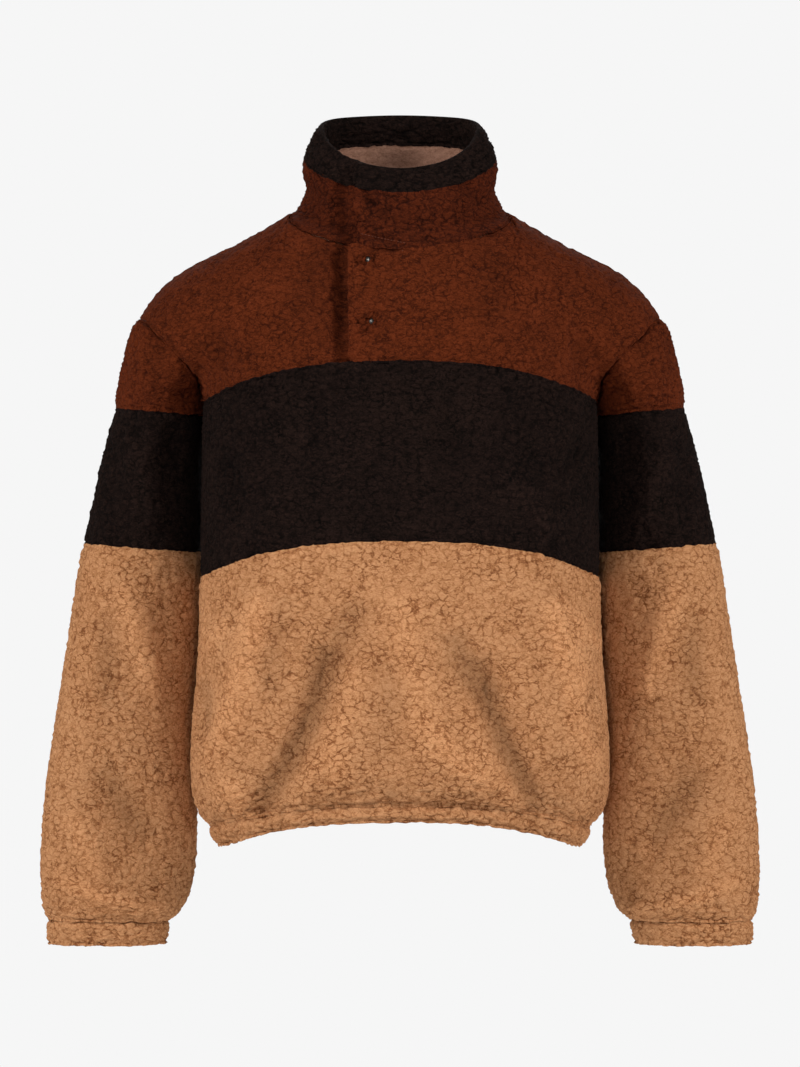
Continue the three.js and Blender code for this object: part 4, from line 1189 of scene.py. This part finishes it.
# Floor, light and camera: a round pale floor, one soft lamp on each side, one in front and one
# behind, all higher than the garment, and a level camera four metres off.
FLOOR_RADIUS = 3.2
FLOOR_HEIGHT = -1.4
FLOOR_CORNERS = 96
floor_mesh = bpy.data.meshes.new("studio_floor")
ring = [
    (FLOOR_RADIUS * math.cos(turn), FLOOR_RADIUS * math.sin(turn), FLOOR_HEIGHT)
    for turn in np.linspace(0, 2 * math.pi, FLOOR_CORNERS + 1)[:-1]
]
floor_mesh.from_pydata(ring, [], [list(range(FLOOR_CORNERS))])
floor = bpy.data.objects.new("studio_floor", floor_mesh)
bpy.context.scene.collection.objects.link(floor)
# a quiet, dull white that gives the floor no shine
paint = bpy.data.materials.new("matt_white_paint")
paint.use_nodes = True
paint.node_tree.nodes["Principled BSDF"].inputs["Base Color"].default_value = linear("f2f1ef")
paint.node_tree.nodes["Principled BSDF"].inputs["Roughness"].default_value = 0.9
floor_mesh.materials.append(paint)

# a white sweep far behind everything, which the camera sees but which throws no light
SWEEP_RADIUS = 14
sweep_form = bmesh.new()
bmesh.ops.create_uvsphere(sweep_form, u_segments=48, v_segments=24, radius=SWEEP_RADIUS)
bmesh.ops.reverse_faces(sweep_form, faces=sweep_form.faces)
sweep_mesh = bpy.data.meshes.new("studio_sweep")
sweep_form.to_mesh(sweep_mesh)
sweep_form.free()
sweep = bpy.data.objects.new("studio_sweep", sweep_mesh)
bpy.context.scene.collection.objects.link(sweep)
sweep.visible_diffuse = False
sweep.visible_glossy = False
sweep.visible_shadow = False
# an even, nearly pure white with no shade in it
glow = bpy.data.materials.new("lit_white_sweep")
glow.use_nodes = True
glow.node_tree.nodes.clear()
light = add(glow.node_tree, "ShaderNodeEmission", None, {"Color": linear("f6f6f6"), "Strength": 1.0})
add(glow.node_tree, "ShaderNodeOutputMaterial", None, {"Surface": light.outputs[0]})
sweep_mesh.materials.append(glow)

# a little light from all round, which softens the shadows
world = bpy.data.worlds.new("studio")
world.use_nodes = True
world.node_tree.nodes["Background"].inputs["Color"].default_value = linear("ffffff")
world.node_tree.nodes["Background"].inputs["Strength"].default_value = 0.2
bpy.context.scene.world = world
bpy.context.scene.view_settings.view_transform = "Standard"

BODY_MIDDLE = (0, 0, -0.32)
# each lamp's name, its place and width in metres, and its power in watts
LAMPS = [
    ("lamp_left", (-3.3, -2.0, 1.1), 0.8, 98),
    ("lamp_right", (3.3, -2.0, 1.0), 0.8, 92),
    ("lamp_front", (-0.3, -4.3, 1.9), 1.0, 58),
    ("lamp_back", (0.0, 3.2, 1.4), 2.4, 60),
]
for name, spot, width, power in LAMPS:
    lamp = bpy.data.lights.new(name, "AREA")
    lamp.size = width
    lamp.energy = power
    holder = bpy.data.objects.new(name, lamp)
    bpy.context.scene.collection.objects.link(holder)
    holder.location = spot
    ahead = Vector(BODY_MIDDLE) - Vector(spot)
    holder.rotation_euler = ahead.to_track_quat("-Z", "Y").to_euler()

SENSOR = 36  # mm
DISTANCE = 4000  # mm from the garment
IN_VIEW = 1067  # mm of the garment's plane from the bottom of the picture to its top
EYE_HEIGHT = -323  # mm
camera_data = bpy.data.cameras.new("camera")
camera_data.sensor_fit = "VERTICAL"
camera_data.sensor_height = SENSOR
camera_data.lens = SENSOR * DISTANCE / IN_VIEW
camera = bpy.data.objects.new("camera", camera_data)
bpy.context.scene.collection.objects.link(camera)
camera.location = (0, -DISTANCE * MM, EYE_HEIGHT * MM)
camera.rotation_euler = (math.pi / 2, 0, 0)
bpy.context.scene.camera = camera
